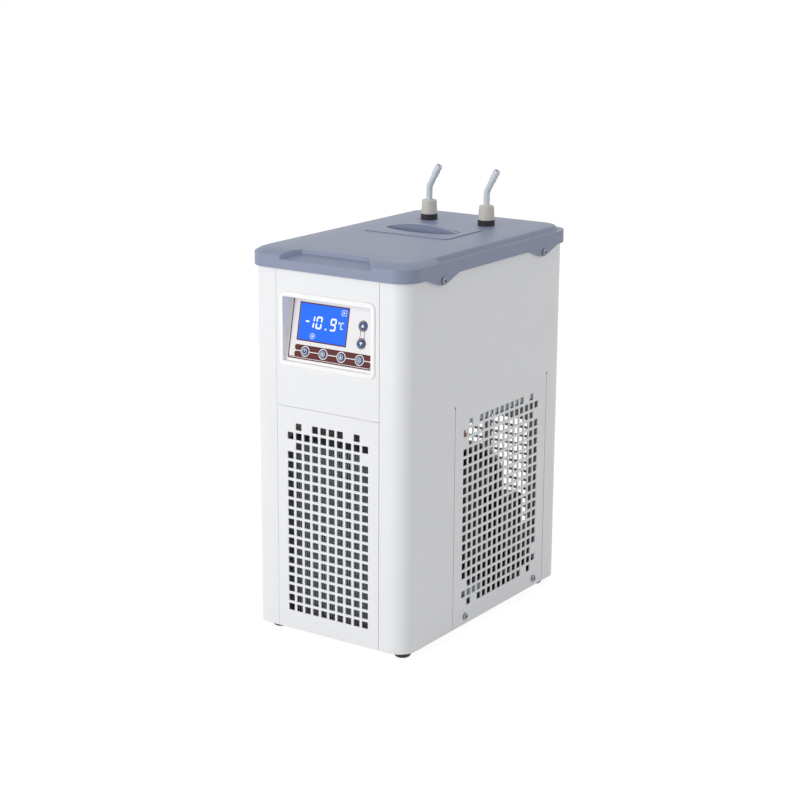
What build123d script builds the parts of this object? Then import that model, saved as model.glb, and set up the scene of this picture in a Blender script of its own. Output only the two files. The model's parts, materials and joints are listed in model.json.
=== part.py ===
"""Benchtop recirculating chiller: a sheet steel cabinet on rubber feet with a moulded top cover, two
hose nipples, a sunk control panel, and the cooling circuit, reservoir, pump and fan inside.

Millimetres. +Z is up, the front faces -Y, +X is to the right, and the origin is on the floor under the
middle of the cabinet. Heights called "level" are above the floor.
"""

import math
import os

from build123d import *

# Cabinet
body_width = 204.0
body_depth = 333.0
body_height = 416.0
corner_radius = 21.0
sheet = 1.2
foot_height = 10.5
seam_half = 67.5
seam_gap = 0.4
flange_depth = 9.0
joint_height = 256.2
fit_gap = 0.3

# Square-hole grilles
pitch = 11.0
hole = 8.0
grille_rows = 20
grille_bottom = 25.4
front_columns = 10
side_columns = 15
side_grille_start = 117.0
kerf_width = 1.0
kerf_front = 95.5
kerf_rear = 293.6
relief_diameter = 3.0

# Moulded top cover
cover_overhang = 3.7
skirt_bottom = 407.0
skirt_top = 421.3
shoulder_inset = 11.0
shoulder_rise = 5.4
deck_rise = 7.4
deck_half_width = 68.0
deck_front = 36.0
deck_rear = 309.0
ledge_start = 57.0
ledge_width = 5.5
ledge_slope = 5.0
notch_front_half = 59.0
notch_back_half = 42.5
notch_depth = 18.6
notch_front_level = 417.2
notch_back_level = 422.6
tab_screws = (63.0, 273.6)
tab_drop = 9.4
tab_half = 33.0
tab_tip = 4.5
tab_screw_rise = 4.8

# Filler cap and its opening
cap_length = 112.0
cap_width = 78.0
cap_proud = 1.0
cap_centre = 184.0
opening_length = 102.0
opening_width = 54.0
dish_length = 94.0
dish_width = 40.0
dish_depth = 8.0
dish_draft = 2.0
grip_thickness = 6.0
grip_rise = 6.0

# Hose nipples
nipple_spacing = 78.0
nipple_place = 256.0
nipple_diameter = 7.3
nipple_bore = 4.6
gasket_diameter = 19.6
gasket_height = 6.6
collar_height = 16.4
collar_bottom = 19.0
collar_top = 17.0
nipple_rise = 35.0
nipple_reach = 25.0
nipple_bend = 28.0

# Control panel
bezel_width = 124.6
bezel_height = 81.6
bezel_centre = 342.3
bezel_proud = 1.8
bezel_radius = 7.0
recess_width = 115.0
recess_height = 70.6
recess_shallow = 3.0
recess_deep = 17.0
panel_wall = 2.5
overlay_thickness = 0.5
lcd_width = 63.0
lcd_height = 39.5
lcd_x = -13.0
lcd_up = 43.8
key_diameter = 9.2
key_pitch = 23.7
key_first = -32.4
key_up = 11.8
arrow_x = 38.8
arrow_low = 29.4
arrow_high = 48.1
key_travel = 0.8
key_clearance = 0.25
key_proud = 1.2

# Screws
head_diameter = 8.0
head_height = 2.4
shank_diameter = 3.9
shank_length = 8.0
screw_hole = shank_diameter + 0.2
flap_screws = (120.8, 272.4)
flap_screw_rise = 9.2
rear_screw_x = 50.0

# Reservoir and water side
shelf_level = 246.0
shelf_flange = 14.0
tank_length = 150.0
tank_width = 146.0
tank_height = 138.0
tank_wall = 1.0
tank_place = 145.0
insulation = 16.0
insulation_floor = 14.0
plate_height = 96.0
channel_rows = 5
pump_radius = 24.0
pump_offset = 9.0
pump_motor_height = 40.0
pump_head_height = 22.0
pump_port_reach = 2.0
hose_diameter = 11.0
hose_overlap = 12.0
hose_bend = 14.0
drain_x = 0.0
drain_diameter = 12.0
drain_bore = 10.0

# Cooling circuit
condenser_width = 132.0
condenser_height = 214.0
condenser_depth = 32.0
condenser_place = 12.5
fan_diameter = 112.0
shroud_depth = 26.0
compressor_diameter = 112.0
compressor_height = 150.0
compressor_x = 6.0
compressor_setback = 83.0
mount_span_x = 112.0
mount_span_y = 44.0
copper_diameter = 8.0
capillary_diameter = 4.0
riser_place = 262.0
riser_x = 76.0
suction_x = -60.0
suction_level = 110.0
capillary_x = -20.0
capillary_crest = 226.0
discharge_x = 18.0
discharge_offset = 4.0
discharge_crest = 200.0
discharge_port_level = 66.0
liquid_port_level = 36.0
drier_x = -78.0
drier_place = 140.0
drier_bottom = 56.0
drier_length = 90.0
supply_x = 70.0
supply_place = 132.0

# Mains inlet and switch
inlet_width = 28.0
inlet_height = 20.5
inlet_x = -38.0
inlet_rise = 322.0
switch_width = 19.0
switch_height = 13.0
switch_x = 0.0
rocker_width = 15.0
rocker_height = 9.0

# Worked-out levels and faces
base_level = foot_height
front_face = -body_depth / 2
rear_face = body_depth / 2
side_face = body_width / 2
cover_width = body_width + 2 * cover_overhang
cover_depth = body_depth + 2 * cover_overhang
cover_radius = corner_radius + cover_overhang
skirt_top_level = base_level + skirt_top
deck_level = skirt_top_level + deck_rise
shoulder_level = skirt_top_level + shoulder_rise
grille_top = grille_bottom + (grille_rows - 1) * pitch
face_tilt = math.degrees(math.atan2(recess_deep - recess_shallow, recess_height))
face_bottom = base_level + bezel_centre - recess_height / 2
panel_face = Plane(
    origin=(0, front_face + recess_shallow, face_bottom),
    x_dir=(1, 0, 0),
    z_dir=(0, -math.cos(math.radians(face_tilt)), math.sin(math.radians(face_tilt))),
)
floor_level = base_level + sheet
cover_screw_level = base_level + skirt_bottom - tab_screw_rise
rim_screw_level = base_level + flap_screw_rise
fan_level = sheet + condenser_height / 2
shelf_top = base_level + shelf_level
pump_top = shelf_top + pump_motor_height + pump_head_height
pump_x = nipple_spacing / 2
pump_y = front_face + nipple_place
tank_floor = shelf_top + insulation_floor
tank_y = front_face + tank_place
port_y = tank_y + tank_length / 2
pump_port_level = shelf_top + pump_motor_height + pump_head_height / 2
channel_pitch = plate_height / (channel_rows + 1)
plate_middle = tank_floor + tank_wall + plate_height / 2
suction_port_level = plate_middle + 1.5 * channel_pitch
capillary_port_level = plate_middle - 1.5 * channel_pitch
return_level = plate_middle + plate_height / 2
drain_level = tank_floor + tank_wall + drain_bore / 2
inlet_level = base_level + inlet_rise
shelf_screw_level = base_level + shelf_level - shelf_flange / 2

os.makedirs("parts", exist_ok=True)


def save(piece, name):
    piece.part.label = name
    export_step(piece.part, f"parts/{name}.step")


def depth_from_front(distance):
    return front_face + distance


# Side panels: each wraps both corners, with a flange folded in behind either seam
side_cells = {1: [2, *range(4, 13), 14], 3: range(2, 15), 18: range(2, 15), 20: [2, *range(4, 13), 14]}


def grille_level(row):
    return base_level + grille_bottom + (grille_rows - row) * pitch


with BuildPart() as side_blank:
    with BuildSketch(Plane.XY.offset(base_level)):
        RectangleRounded(body_width, body_depth, corner_radius)
        RectangleRounded(
            body_width - 2 * sheet, body_depth - 2 * sheet, corner_radius - sheet, mode=Mode.SUBTRACT
        )
        Rectangle(2 * seam_half, 2 * body_depth, mode=Mode.SUBTRACT)
        Rectangle(body_width, 2 * body_depth, align=(Align.MAX, Align.CENTER), mode=Mode.SUBTRACT)
        for end in (-1, 1):
            with Locations((seam_half, end * (body_depth - flange_depth) / 2)):
                Rectangle(sheet, flange_depth, align=(Align.MIN, Align.CENTER))
    extrude(amount=body_height)
    seam_bends = side_blank.edges().filter_by(Axis.Z).filter_by(
        lambda e: abs(e.center().X - seam_half) < sheet / 2 and abs(e.center().Y) > body_depth / 2 - sheet / 2
    )
    fillet(seam_bends, sheet / 2)
    with BuildSketch(Plane.YZ.offset(side_face - 2 * sheet)):
        with Locations(*[(depth_from_front(y), cover_screw_level) for y in tab_screws]):
            Circle(screw_hole / 2)
    extrude(amount=4 * sheet, mode=Mode.SUBTRACT)

side_holes = [
    (depth_from_front(side_grille_start + (column - 1) * pitch), grille_level(row))
    for row in range(1, grille_rows + 1)
    for column in side_cells.get(row, range(1, side_columns + 1))
]

with BuildPart() as right_side_panel:
    add(side_blank.part)
    with BuildSketch(Plane.YZ.offset(side_face - 2 * sheet)):
        with Locations(side_holes):
            Rectangle(hole, hole)
        for kerf in (kerf_front, kerf_rear):
            with Locations((depth_from_front(kerf), base_level)):
                Rectangle(kerf_width, joint_height, align=(Align.CENTER, Align.MIN))
            with Locations((depth_from_front(kerf), base_level + joint_height)):
                Circle(relief_diameter / 2)
        with Locations(*[(depth_from_front(y), rim_screw_level) for y in flap_screws]):
            Circle(screw_hole / 2)
    extrude(amount=4 * sheet, mode=Mode.SUBTRACT)
save(right_side_panel, "right_side_panel")

slot_columns = 3
slot_length = 46.0
slot_pitch = 55.0
with BuildPart() as left_side_panel:
    mirror(side_blank.part, about=Plane.YZ)
    with BuildSketch(Plane.YZ.offset(-side_face - 2 * sheet)):
        slot_centre = depth_from_front(side_grille_start + (side_columns - 1) * pitch / 2)
        with Locations((slot_centre, base_level + (grille_bottom + grille_top) / 2)):
            with GridLocations(slot_pitch, 2 * pitch, slot_columns, grille_rows // 2):
                Rectangle(slot_length, hole)
    extrude(amount=4 * sheet, mode=Mode.SUBTRACT)
save(left_side_panel, "left_side_panel")

# Front and rear panels: flat trays whose side flanges stand beside those of the side panels
tray_width = 2 * (seam_half - seam_gap)


def tray_outline(face, inward, level):
    """Sketches the flat panel and its two flanges, seen from above."""
    with BuildSketch(Plane.XY.offset(level)) as outline:
        with Locations((0, face + inward * sheet / 2)):
            Rectangle(tray_width, sheet)
        for end in (-1, 1):
            with Locations((end * (tray_width - sheet) / 2, face + inward * flange_depth / 2)):
                Rectangle(sheet, flange_depth)
    return outline.sketch


front_rows = {1: [2, 4, 5, 6, 7, 9], 3: range(2, 10)}
front_holes = [
    ((column - (front_columns + 1) / 2) * pitch, grille_level(row))
    for row in range(1, grille_rows + 1)
    for column in front_rows.get(row, range(1, front_columns + 1))
]
with BuildPart() as front_grille_panel:
    extrude(tray_outline(front_face, 1, base_level), amount=joint_height - seam_gap)
    with BuildSketch(Plane.XZ.offset(-front_face - 2 * sheet)):
        with Locations(front_holes):
            Rectangle(hole, hole)
    extrude(amount=4 * sheet, mode=Mode.SUBTRACT)
save(front_grille_panel, "front_grille_panel")

cutout_width = bezel_width - 5.6
cutout_height = bezel_height - 5.6
with BuildPart() as front_control_panel:
    extrude(tray_outline(front_face, 1, base_level + joint_height), amount=body_height - joint_height)
    with BuildSketch(Plane.XZ.offset(-front_face - 2 * sheet)):
        with Locations((0, base_level + bezel_centre)):
            RectangleRounded(cutout_width, cutout_height, bezel_radius - 2.8)
    extrude(amount=4 * sheet, mode=Mode.SUBTRACT)
save(front_control_panel, "front_control_panel")

# Rear panel, with the mains inlet, the mains switch, the drain and the vent slots
rear_slot_length = 50.0
rear_slot_rows = 12
with BuildPart() as rear_panel:
    extrude(tray_outline(rear_face, -1, base_level), amount=body_height)
    with BuildSketch(Plane.XZ.offset(-rear_face - 2 * sheet)):
        with Locations((0, base_level + (grille_bottom + grille_top) / 2 - pitch)):
            with GridLocations(rear_slot_length + pitch, pitch, 2, rear_slot_rows):
                Rectangle(rear_slot_length, hole)
        with Locations((inlet_x, inlet_level)):
            Rectangle(inlet_width, inlet_height)
        with Locations((switch_x, inlet_level)):
            Rectangle(switch_width, switch_height)
        with Locations((drain_x, drain_level)):
            Circle(drain_diameter / 2 + fit_gap)
        with Locations(*[(x * rear_screw_x, z) for x in (-1, 1) for z in (rim_screw_level, shelf_screw_level)]):
            Circle(screw_hole / 2)
    extrude(amount=4 * sheet, mode=Mode.SUBTRACT)
save(rear_panel, "rear_panel")

# Base plate: a tray with its rim turned up inside the cabinet
rim_height = 14.0
foot_inset_x = 19.0
foot_inset_y = 24.0
with BuildPart() as base_plate:
    with BuildSketch(Plane.XY.offset(base_level)):
        inner = 2 * (flange_depth + fit_gap)
        Rectangle(body_width - 2 * (sheet + fit_gap), body_depth - 2 * (sheet + fit_gap) - inner)
        Rectangle(tray_width - 2 * (sheet + fit_gap), body_depth - 2 * (sheet + fit_gap))
        RectangleRounded(
            body_width - 2 * (sheet + fit_gap),
            body_depth - 2 * (sheet + fit_gap),
            corner_radius - sheet - fit_gap,
            mode=Mode.INTERSECT,
        )
    extrude(amount=rim_height)
    offset(amount=-sheet, openings=base_plate.faces().sort_by(Axis.Z)[-1])
    with BuildSketch(Plane.YZ.offset(side_face - 4 * sheet)):
        with Locations(*[(depth_from_front(y), rim_screw_level) for y in flap_screws]):
            Circle(screw_hole / 2)
    extrude(amount=4 * sheet, mode=Mode.SUBTRACT)
    with BuildSketch(Plane.XZ.offset(-rear_face)):
        with Locations(*[(x * rear_screw_x, rim_screw_level) for x in (-1, 1)]):
            Circle(screw_hole / 2)
    extrude(amount=4 * sheet, mode=Mode.SUBTRACT)
save(base_plate, "base_plate")

# Rubber feet
foot_top = 23.0
foot_bottom = 16.0
foot_spots = [
    (x * (side_face - foot_inset_x), y * (rear_face - foot_inset_y)) for x in (-1, 1) for y in (-1, 1)
]
with BuildPart() as feet:
    with Locations(*[(x, y, 0) for x, y in foot_spots]):
        Cone(foot_bottom / 2, foot_top / 2, foot_height, align=(Align.CENTER, Align.CENTER, Align.MIN))
save(feet, "feet")

# Top cover: skirt, rounded shoulder and sunk rim
def cover_outline(level, inset):
    """Sketches the cover's outline at a level, drawn in from the skirt by an inset."""
    with BuildSketch(Plane.XY.offset(level)) as outline:
        RectangleRounded(cover_width - 2 * inset, cover_depth - 2 * inset, cover_radius - inset / 2)
    return outline.sketch


def deck_outline(level, inset, radius):
    """Sketches the flat deck's outline at a level."""
    with BuildSketch(Plane.XY.offset(level)) as outline:
        with Locations((0, depth_from_front((deck_front + deck_rear) / 2))):
            RectangleRounded(2 * (deck_half_width - inset), deck_rear - deck_front - 2 * inset, radius)
    return outline.sketch


mid_inset = 0.42 * shoulder_inset
mid_rise = 0.6 * shoulder_rise
cover_wall = 3.2
deck_radius = 24.0
with BuildPart() as ledge_cut:
    with BuildSketch(Plane.XY.offset(skirt_top_level)):
        with Locations((0, depth_from_front(ledge_start))):
            Rectangle(2 * cover_width, 2 * cover_depth, align=(Align.CENTER, Align.MIN))
    extrude(amount=2 * deck_rise)
    loft(
        [
            cover_outline(skirt_top_level, ledge_width),
            cover_outline(skirt_top_level + 2 * deck_rise, ledge_width + 2 * ledge_slope),
        ],
        ruled=True,
        mode=Mode.SUBTRACT,
    )

with BuildPart() as notch_cut:
    with BuildSketch(Plane.XY.offset(base_level + notch_front_level - 2 * notch_depth)) as notch_plan:
        with BuildLine():
            Polyline(
                (-notch_front_half - 6, front_face - cover_overhang - 6),
                (-notch_back_half, depth_from_front(notch_depth - cover_overhang)),
                (notch_back_half, depth_from_front(notch_depth - cover_overhang)),
                (notch_front_half + 6, front_face - cover_overhang - 6),
                close=True,
            )
        make_face()
        fillet(notch_plan.vertices().sort_by(Axis.Y)[-2:], 6)
    extrude(amount=6 * notch_depth)
    with BuildSketch(Plane.YZ.offset(-cover_width)):
        with BuildLine():
            rise = notch_back_level - notch_front_level
            Polyline(
                (front_face - cover_overhang - notch_depth, base_level + notch_front_level - rise),
                (depth_from_front(2 * notch_depth - cover_overhang), base_level + notch_back_level + rise),
                (depth_from_front(2 * notch_depth - cover_overhang), 0),
                (front_face - cover_overhang - notch_depth, 0),
                close=True,
            )
        make_face()
    extrude(amount=2 * cover_width, mode=Mode.SUBTRACT)

boss_spots = [(x * nipple_spacing / 2, depth_from_front(nipple_place)) for x in (-1, 1)]
with BuildPart() as top_cover:
    with BuildSketch(Plane.XY.offset(base_level + skirt_bottom)):
        add(cover_outline(base_level + skirt_bottom, 0))
    extrude(amount=skirt_top - skirt_bottom)
    loft([cover_outline(skirt_top_level, 0), cover_outline(skirt_top_level + mid_rise, mid_inset)], ruled=True)
    loft(
        [
            cover_outline(skirt_top_level + mid_rise, mid_inset),
            cover_outline(shoulder_level, shoulder_inset),
        ],
        ruled=True,
    )
    loft([cover_outline(shoulder_level, shoulder_inset), deck_outline(deck_level, 0, deck_radius)], ruled=True)
    add(ledge_cut.part, mode=Mode.SUBTRACT)
    add(notch_cut.part, mode=Mode.SUBTRACT)
    # Tabs that reach down each side for the cover's screws
    for side in (-1, 1):
        with BuildSketch(Plane.YZ.offset(side * (side_face + fit_gap))):
            for screw in tab_screws:
                with BuildLine():
                    Polyline(
                        (depth_from_front(screw - tab_half), base_level + skirt_bottom + fit_gap),
                        (depth_from_front(screw - tab_tip), base_level + skirt_bottom - tab_drop),
                        (depth_from_front(screw + tab_tip), base_level + skirt_bottom - tab_drop),
                        (depth_from_front(screw + tab_half), base_level + skirt_bottom + fit_gap),
                        close=True,
                    )
                make_face()
        extrude(amount=side * (cover_overhang - fit_gap))
    # The socket that the cabinet's upper edge stands in, and the hollow above it
    with BuildSketch(Plane.XY.offset(base_level + skirt_bottom)):
        RectangleRounded(body_width + 2 * fit_gap, body_depth + 2 * fit_gap, corner_radius + fit_gap)
    extrude(amount=body_height - skirt_bottom, mode=Mode.SUBTRACT)
    hollow_inset = cover_overhang + sheet + 1.5
    loft(
        [
            cover_outline(base_level + body_height, hollow_inset),
            deck_outline(deck_level - cover_wall, cover_wall, deck_radius - cover_wall),
        ],
        ruled=True,
        mode=Mode.SUBTRACT,
    )
    # The filler opening, and the holes under the two nipples
    with BuildSketch(Plane.XY.offset(deck_level - 2 * cover_wall)):
        with Locations((0, depth_from_front(cap_centre))):
            RectangleRounded(opening_length, opening_width, 6)
        with Locations(*boss_spots):
            Circle(nipple_diameter / 2 + 1)
    extrude(amount=4 * cover_wall, mode=Mode.SUBTRACT)
    # Screw holes through the tabs
    with BuildSketch(Plane.YZ.offset(-cover_width)):
        for screw in tab_screws:
            with Locations((depth_from_front(screw), cover_screw_level)):
                Circle(screw_hole / 2)
    extrude(amount=2 * cover_width, mode=Mode.SUBTRACT)
save(top_cover, "top_cover")

# Filler cap: a plate on the deck, a plug in the opening and a dish with a finger grip across it
plug_depth = dish_depth + 3.0
with BuildPart() as filler_cap:
    with BuildSketch(Plane.XY.offset(deck_level)):
        with Locations((0, depth_from_front(cap_centre))):
            RectangleRounded(cap_length, cap_width, 6)
    extrude(amount=cap_proud)
    with BuildSketch(Plane.XY.offset(deck_level)):
        with Locations((0, depth_from_front(cap_centre))):
            RectangleRounded(opening_length - 2 * fit_gap, opening_width - 2 * fit_gap, 6 - fit_gap)
    extrude(amount=cap_proud - plug_depth)
    for depth, draft in ((0, 0), (dish_depth, dish_draft)):
        with BuildSketch(Plane.XY.offset(deck_level + cap_proud - depth)):
            with Locations((0, depth_from_front(cap_centre))):
                Ellipse(dish_length / 2 - draft, dish_width / 2 - draft)
    loft(mode=Mode.SUBTRACT)
    with BuildSketch(Plane.XZ.offset(-depth_from_front(cap_centre))):
        with BuildLine():
            top = deck_level + cap_proud
            end = dish_length / 2
            ThreePointArc((-end, top), (0, top + grip_rise), (end, top))
            Polyline((-end, top), (-end, top - dish_depth), (end, top - dish_depth), (end, top))
        make_face()
    extrude(amount=grip_thickness / 2, both=True)
save(filler_cap, "filler_cap")

# Hose nipples: gasket, collar, bent barbed tube and the nut under the cover
def ring(outer, inner, top_outer, height, level):
    """Draws half the section of a ring about the Z axis."""
    with BuildSketch(Plane.XZ) as section:
        with BuildLine():
            Polyline(
                (inner / 2, level),
                (outer / 2, level),
                (top_outer / 2, level + height),
                (inner / 2, level + height),
                close=True,
            )
        make_face()
    return section.sketch


nut_height = 5.0
nut_across = 13.0
tail = 22.0
tube_clearance = 0.05
bend_radius = 14.0
barb_proud = 0.8
barb_length = 4.6
barbs = 3
lean = math.radians(nipple_bend)
stem_top = deck_level + nipple_rise
bend_x = bend_radius * (1 - math.cos(lean))
bend_z = stem_top + bend_radius * math.sin(lean)
hose_top = deck_level - tail

# Section of the leaning end, from the bend up to the tip, with its barbs
end_plane = Plane(
    origin=(bend_x, 0, bend_z), x_dir=(math.cos(lean), 0, -math.sin(lean)), z_dir=(0, -1, 0)
)
end_profile = [(nipple_bore / 2, 0), (nipple_diameter / 2, 0)]
for barb in range(barbs):
    start = nipple_reach - (barbs - barb) * barb_length
    end_profile += [
        (nipple_diameter / 2, start + 0.2 * barb_length),
        (nipple_diameter / 2 + barb_proud, start + 0.2 * barb_length),
        (nipple_diameter / 2, start + barb_length),
    ]
end_profile.append((nipple_bore / 2, nipple_reach))

for label, x in (("return", -nipple_spacing / 2), ("supply", nipple_spacing / 2)):
    place = Location((x, depth_from_front(nipple_place), 0))
    with BuildPart() as gasket:
        with BuildSketch(Plane.XZ):
            add(ring(gasket_diameter, nipple_diameter + 2, gasket_diameter, gasket_height, deck_level))
        revolve(axis=Axis.Z)
    gasket.part.locate(place)
    save(gasket, f"{label}_gasket")

    with BuildPart() as collar:
        with BuildSketch(Plane.XZ):
            bore = nipple_diameter + 2 * tube_clearance
            add(ring(collar_bottom, bore, collar_top, collar_height, deck_level + gasket_height))
        revolve(axis=Axis.Z)
        chamfer(collar.edges().filter_by(GeomType.CIRCLE).group_by(Axis.Z)[-1].sort_by(SortBy.RADIUS)[-1], 0.8)
    collar.part.locate(place)
    save(collar, f"{label}_collar")

    with BuildPart() as nipple:
        with BuildSketch(Plane.XY.offset(hose_top)):
            Circle(nipple_diameter / 2)
            Circle(nipple_bore / 2, mode=Mode.SUBTRACT)
        extrude(amount=stem_top - hose_top)
        bend_axis = Axis((bend_radius, 0, stem_top), (0, 1, 0))
        revolve(nipple.faces().sort_by(Axis.Z)[-1], axis=bend_axis, revolution_arc=nipple_bend)
        with BuildSketch(end_plane):
            with BuildLine():
                Polyline(*end_profile, close=True)
            make_face()
        revolve(axis=Axis(end_plane.origin, end_plane.y_dir))
    nipple.part.locate(place)
    save(nipple, f"{label}_nipple")

    with BuildPart() as nut:
        with BuildSketch(Plane.XY.offset(deck_level - cover_wall - nut_height)):
            RegularPolygon(nut_across / 2, 6, major_radius=False)
            Circle(nipple_diameter / 2 + tube_clearance, mode=Mode.SUBTRACT)
        extrude(amount=nut_height)
    nut.part.locate(place)
    save(nut, f"{label}_nut")

# Screws: pan heads with a short shank, modelled once and set out in groups
def screw_section(length):
    """Draws half a pan-head screw, its head standing on the XY plane."""
    with BuildSketch(Plane.XZ) as section:
        with BuildLine():
            Polyline(
                (0, -length),
                (shank_diameter / 2, -length),
                (shank_diameter / 2, 0),
                (head_diameter / 2, 0),
                (head_diameter / 2 - 0.6, 0.7 * head_height),
                (0, head_height),
                close=True,
            )
        make_face()
    return section.sketch


with BuildPart() as screw:
    with BuildSketch(Plane.XZ):
        add(screw_section(shank_length))
    revolve(axis=Axis.Z)


def screw_group(name, planes):
    """Sets a copy of the screw on each plane and saves them as one node."""
    with BuildPart() as group:
        with Locations(*planes):
            add(screw.part)
    save(group, name)


cover_screw_planes = [
    Plane(
        origin=(side * (side_face + cover_overhang), depth_from_front(y), cover_screw_level), z_dir=(side, 0, 0)
    )
    for side in (-1, 1)
    for y in tab_screws
]
screw_group("cover_screws", cover_screw_planes)

flap_planes = [
    Plane(origin=(side_face, depth_from_front(y), rim_screw_level), z_dir=(1, 0, 0))
    for y in flap_screws
]
screw_group("side_screws", flap_planes)

rear_planes = [
    Plane(origin=(x * rear_screw_x, rear_face, z), z_dir=(0, 1, 0))
    for x in (-1, 1)
    for z in (rim_screw_level, shelf_screw_level)
]
screw_group("rear_screws", rear_planes)

# Control panel: a moulded housing whose sunk face leans back
housing_depth = recess_deep + 8.0
key_spots = [(key_first + i * key_pitch, key_up) for i in range(4)]
arrow_spots = [(arrow_x, arrow_low), (arrow_x, arrow_high)]
key_hole = key_diameter + 2 * key_clearance
window_gap = 0.3


def face_wedge(setback, reach):
    """Side view of the space in front of the leaning face, moved back by a setback."""
    top = face_bottom + recess_height
    with BuildSketch(Plane.YZ) as section:
        with BuildLine():
            Polyline(
                (front_face - reach, face_bottom),
                (front_face + recess_shallow + setback, face_bottom),
                (front_face + recess_deep + setback, top),
                (front_face - reach, top),
                close=True,
            )
        make_face()
    return section.sketch


with BuildPart() as control_housing:
    with BuildSketch(Plane.XZ.offset(-front_face)):
        with Locations((0, base_level + bezel_centre)):
            RectangleRounded(bezel_width, bezel_height, bezel_radius)
    extrude(amount=bezel_proud)
    chamfer(control_housing.faces().sort_by(Axis.Y)[0].edges(), 0.8)
    with BuildSketch(Plane.XZ.offset(-front_face)):
        with Locations((0, base_level + bezel_centre)):
            RectangleRounded(cutout_width - 2 * fit_gap, cutout_height - 2 * fit_gap, bezel_radius - 3.1)
    extrude(amount=-housing_depth)
    extrude(face_wedge(0, 2 * bezel_proud), amount=recess_width / 2, both=True, mode=Mode.SUBTRACT)
    # The hollow behind the face
    with BuildSketch(Plane.YZ):
        with BuildLine():
            back = front_face + housing_depth + 1
            top = face_bottom + recess_height - 1
            slope = (recess_deep - recess_shallow) / recess_height
            Polyline(
                (back, face_bottom + 1),
                (front_face + recess_shallow + panel_wall + slope, face_bottom + 1),
                (front_face + recess_deep + panel_wall - slope, top),
                (back, top),
                close=True,
            )
        make_face()
    extrude(amount=recess_width / 2 - 1, both=True, mode=Mode.SUBTRACT)
    with BuildSketch(panel_face.offset(-2 * panel_wall)):
        with Locations(*key_spots, *arrow_spots):
            Circle(key_hole / 2)
        with Locations((lcd_x, lcd_up)):
            Rectangle(lcd_width, lcd_height)
    extrude(amount=4 * panel_wall, mode=Mode.SUBTRACT)
save(control_housing, "control_housing")

overlay_margin = 2.0
face_length = math.hypot(recess_height, recess_deep - recess_shallow)
with BuildPart() as keypad_overlay:
    with BuildSketch(panel_face) as overlay:
        with Locations((0, face_length / 2)):
            Rectangle(recess_width - 2 * overlay_margin, face_length - 2 * overlay_margin)
        with Locations(*key_spots, *arrow_spots):
            Circle(key_hole / 2, mode=Mode.SUBTRACT)
        with Locations((lcd_x, lcd_up)):
            Rectangle(lcd_width, lcd_height, mode=Mode.SUBTRACT)
    extrude(amount=overlay_thickness)
save(keypad_overlay, "keypad_overlay")

with BuildPart() as lcd_display:
    with BuildSketch(panel_face.offset(-panel_wall)):
        with Locations((lcd_x, lcd_up)):
            Rectangle(lcd_width - 2 * window_gap, lcd_height - 2 * window_gap)
    extrude(amount=panel_wall)
    with BuildSketch(panel_face.offset(-panel_wall)):
        with Locations((lcd_x, lcd_up)):
            Rectangle(lcd_width + 6, lcd_height + 6)
    extrude(amount=-3)
save(lcd_display, "lcd_display")

# Keys: a domed cap, its stem in the housing and a collar behind the face that keeps it in
key_collar = 1.0
key_names = ["key_1", "key_2", "key_3", "key_4", "down_key", "up_key"]
for name, (x, up) in zip(key_names, key_spots + arrow_spots):
    with BuildPart() as key:
        with BuildSketch(panel_face.offset(-panel_wall - fit_gap - key_collar)):
            with Locations((x, up)):
                Circle(key_diameter / 2 + 1)
        extrude(amount=key_collar)
        with BuildSketch(panel_face.offset(-panel_wall - fit_gap)):
            with Locations((x, up)):
                Circle(key_diameter / 2)
        extrude(amount=panel_wall + fit_gap + overlay_thickness + key_proud)
        chamfer(key.edges().filter_by(GeomType.CIRCLE).sort_by(Axis.Y)[0], 0.4)
    save(key, name)

board_thickness = 1.6
with BuildPart() as display_board:
    with BuildSketch(panel_face.offset(-panel_wall - 3 - fit_gap)):
        with Locations((0, face_length / 2)):
            Rectangle(recess_width - 6, face_length - 12)
    extrude(amount=-board_thickness)
save(display_board, "display_board")

# Shelf under the reservoir, turned down at both sides
shelf_front = 46.0
shelf_side_end = body_depth - corner_radius - 4
shelf_width = body_width - 2 * (sheet + fit_gap)
with BuildPart() as reservoir_shelf:
    with BuildSketch(Plane.XZ.offset(-depth_from_front(shelf_front))):
        with Locations((0, base_level + shelf_level)):
            Rectangle(shelf_width, sheet, align=(Align.CENTER, Align.MAX))
        for side in (-1, 1):
            with Locations((side * (shelf_width - sheet) / 2, base_level + shelf_level)):
                Rectangle(sheet, shelf_flange, align=(Align.CENTER, Align.MAX))
    extrude(amount=shelf_front - shelf_side_end)
    with BuildSketch(Plane.XZ.offset(-(rear_face - sheet - fit_gap))):
        with Locations((0, base_level + shelf_level)):
            Rectangle(2 * (seam_half - flange_depth), shelf_flange, align=(Align.CENTER, Align.MAX))
    extrude(amount=sheet)
    with BuildSketch(Plane.XY.offset(base_level + shelf_level - sheet)):
        with Locations((0, rear_face - sheet - fit_gap)):
            Rectangle(2 * (seam_half - flange_depth), corner_radius + 6, align=(Align.CENTER, Align.MAX))
    extrude(amount=sheet)
    with BuildSketch(Plane.XY.offset(base_level + shelf_level - 2 * sheet)):
        with Locations((suction_x, depth_from_front(riser_place)), (capillary_x, depth_from_front(riser_place))):
            Circle(copper_diameter / 2 + 2)
    extrude(amount=4 * sheet, mode=Mode.SUBTRACT)
    with BuildSketch(Plane.XZ.offset(-rear_face)):
        with Locations(*[(x * rear_screw_x, shelf_screw_level) for x in (-1, 1)]):
            Circle(screw_hole / 2)
    extrude(amount=4 * sheet, mode=Mode.SUBTRACT)
save(reservoir_shelf, "reservoir_shelf")

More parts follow.
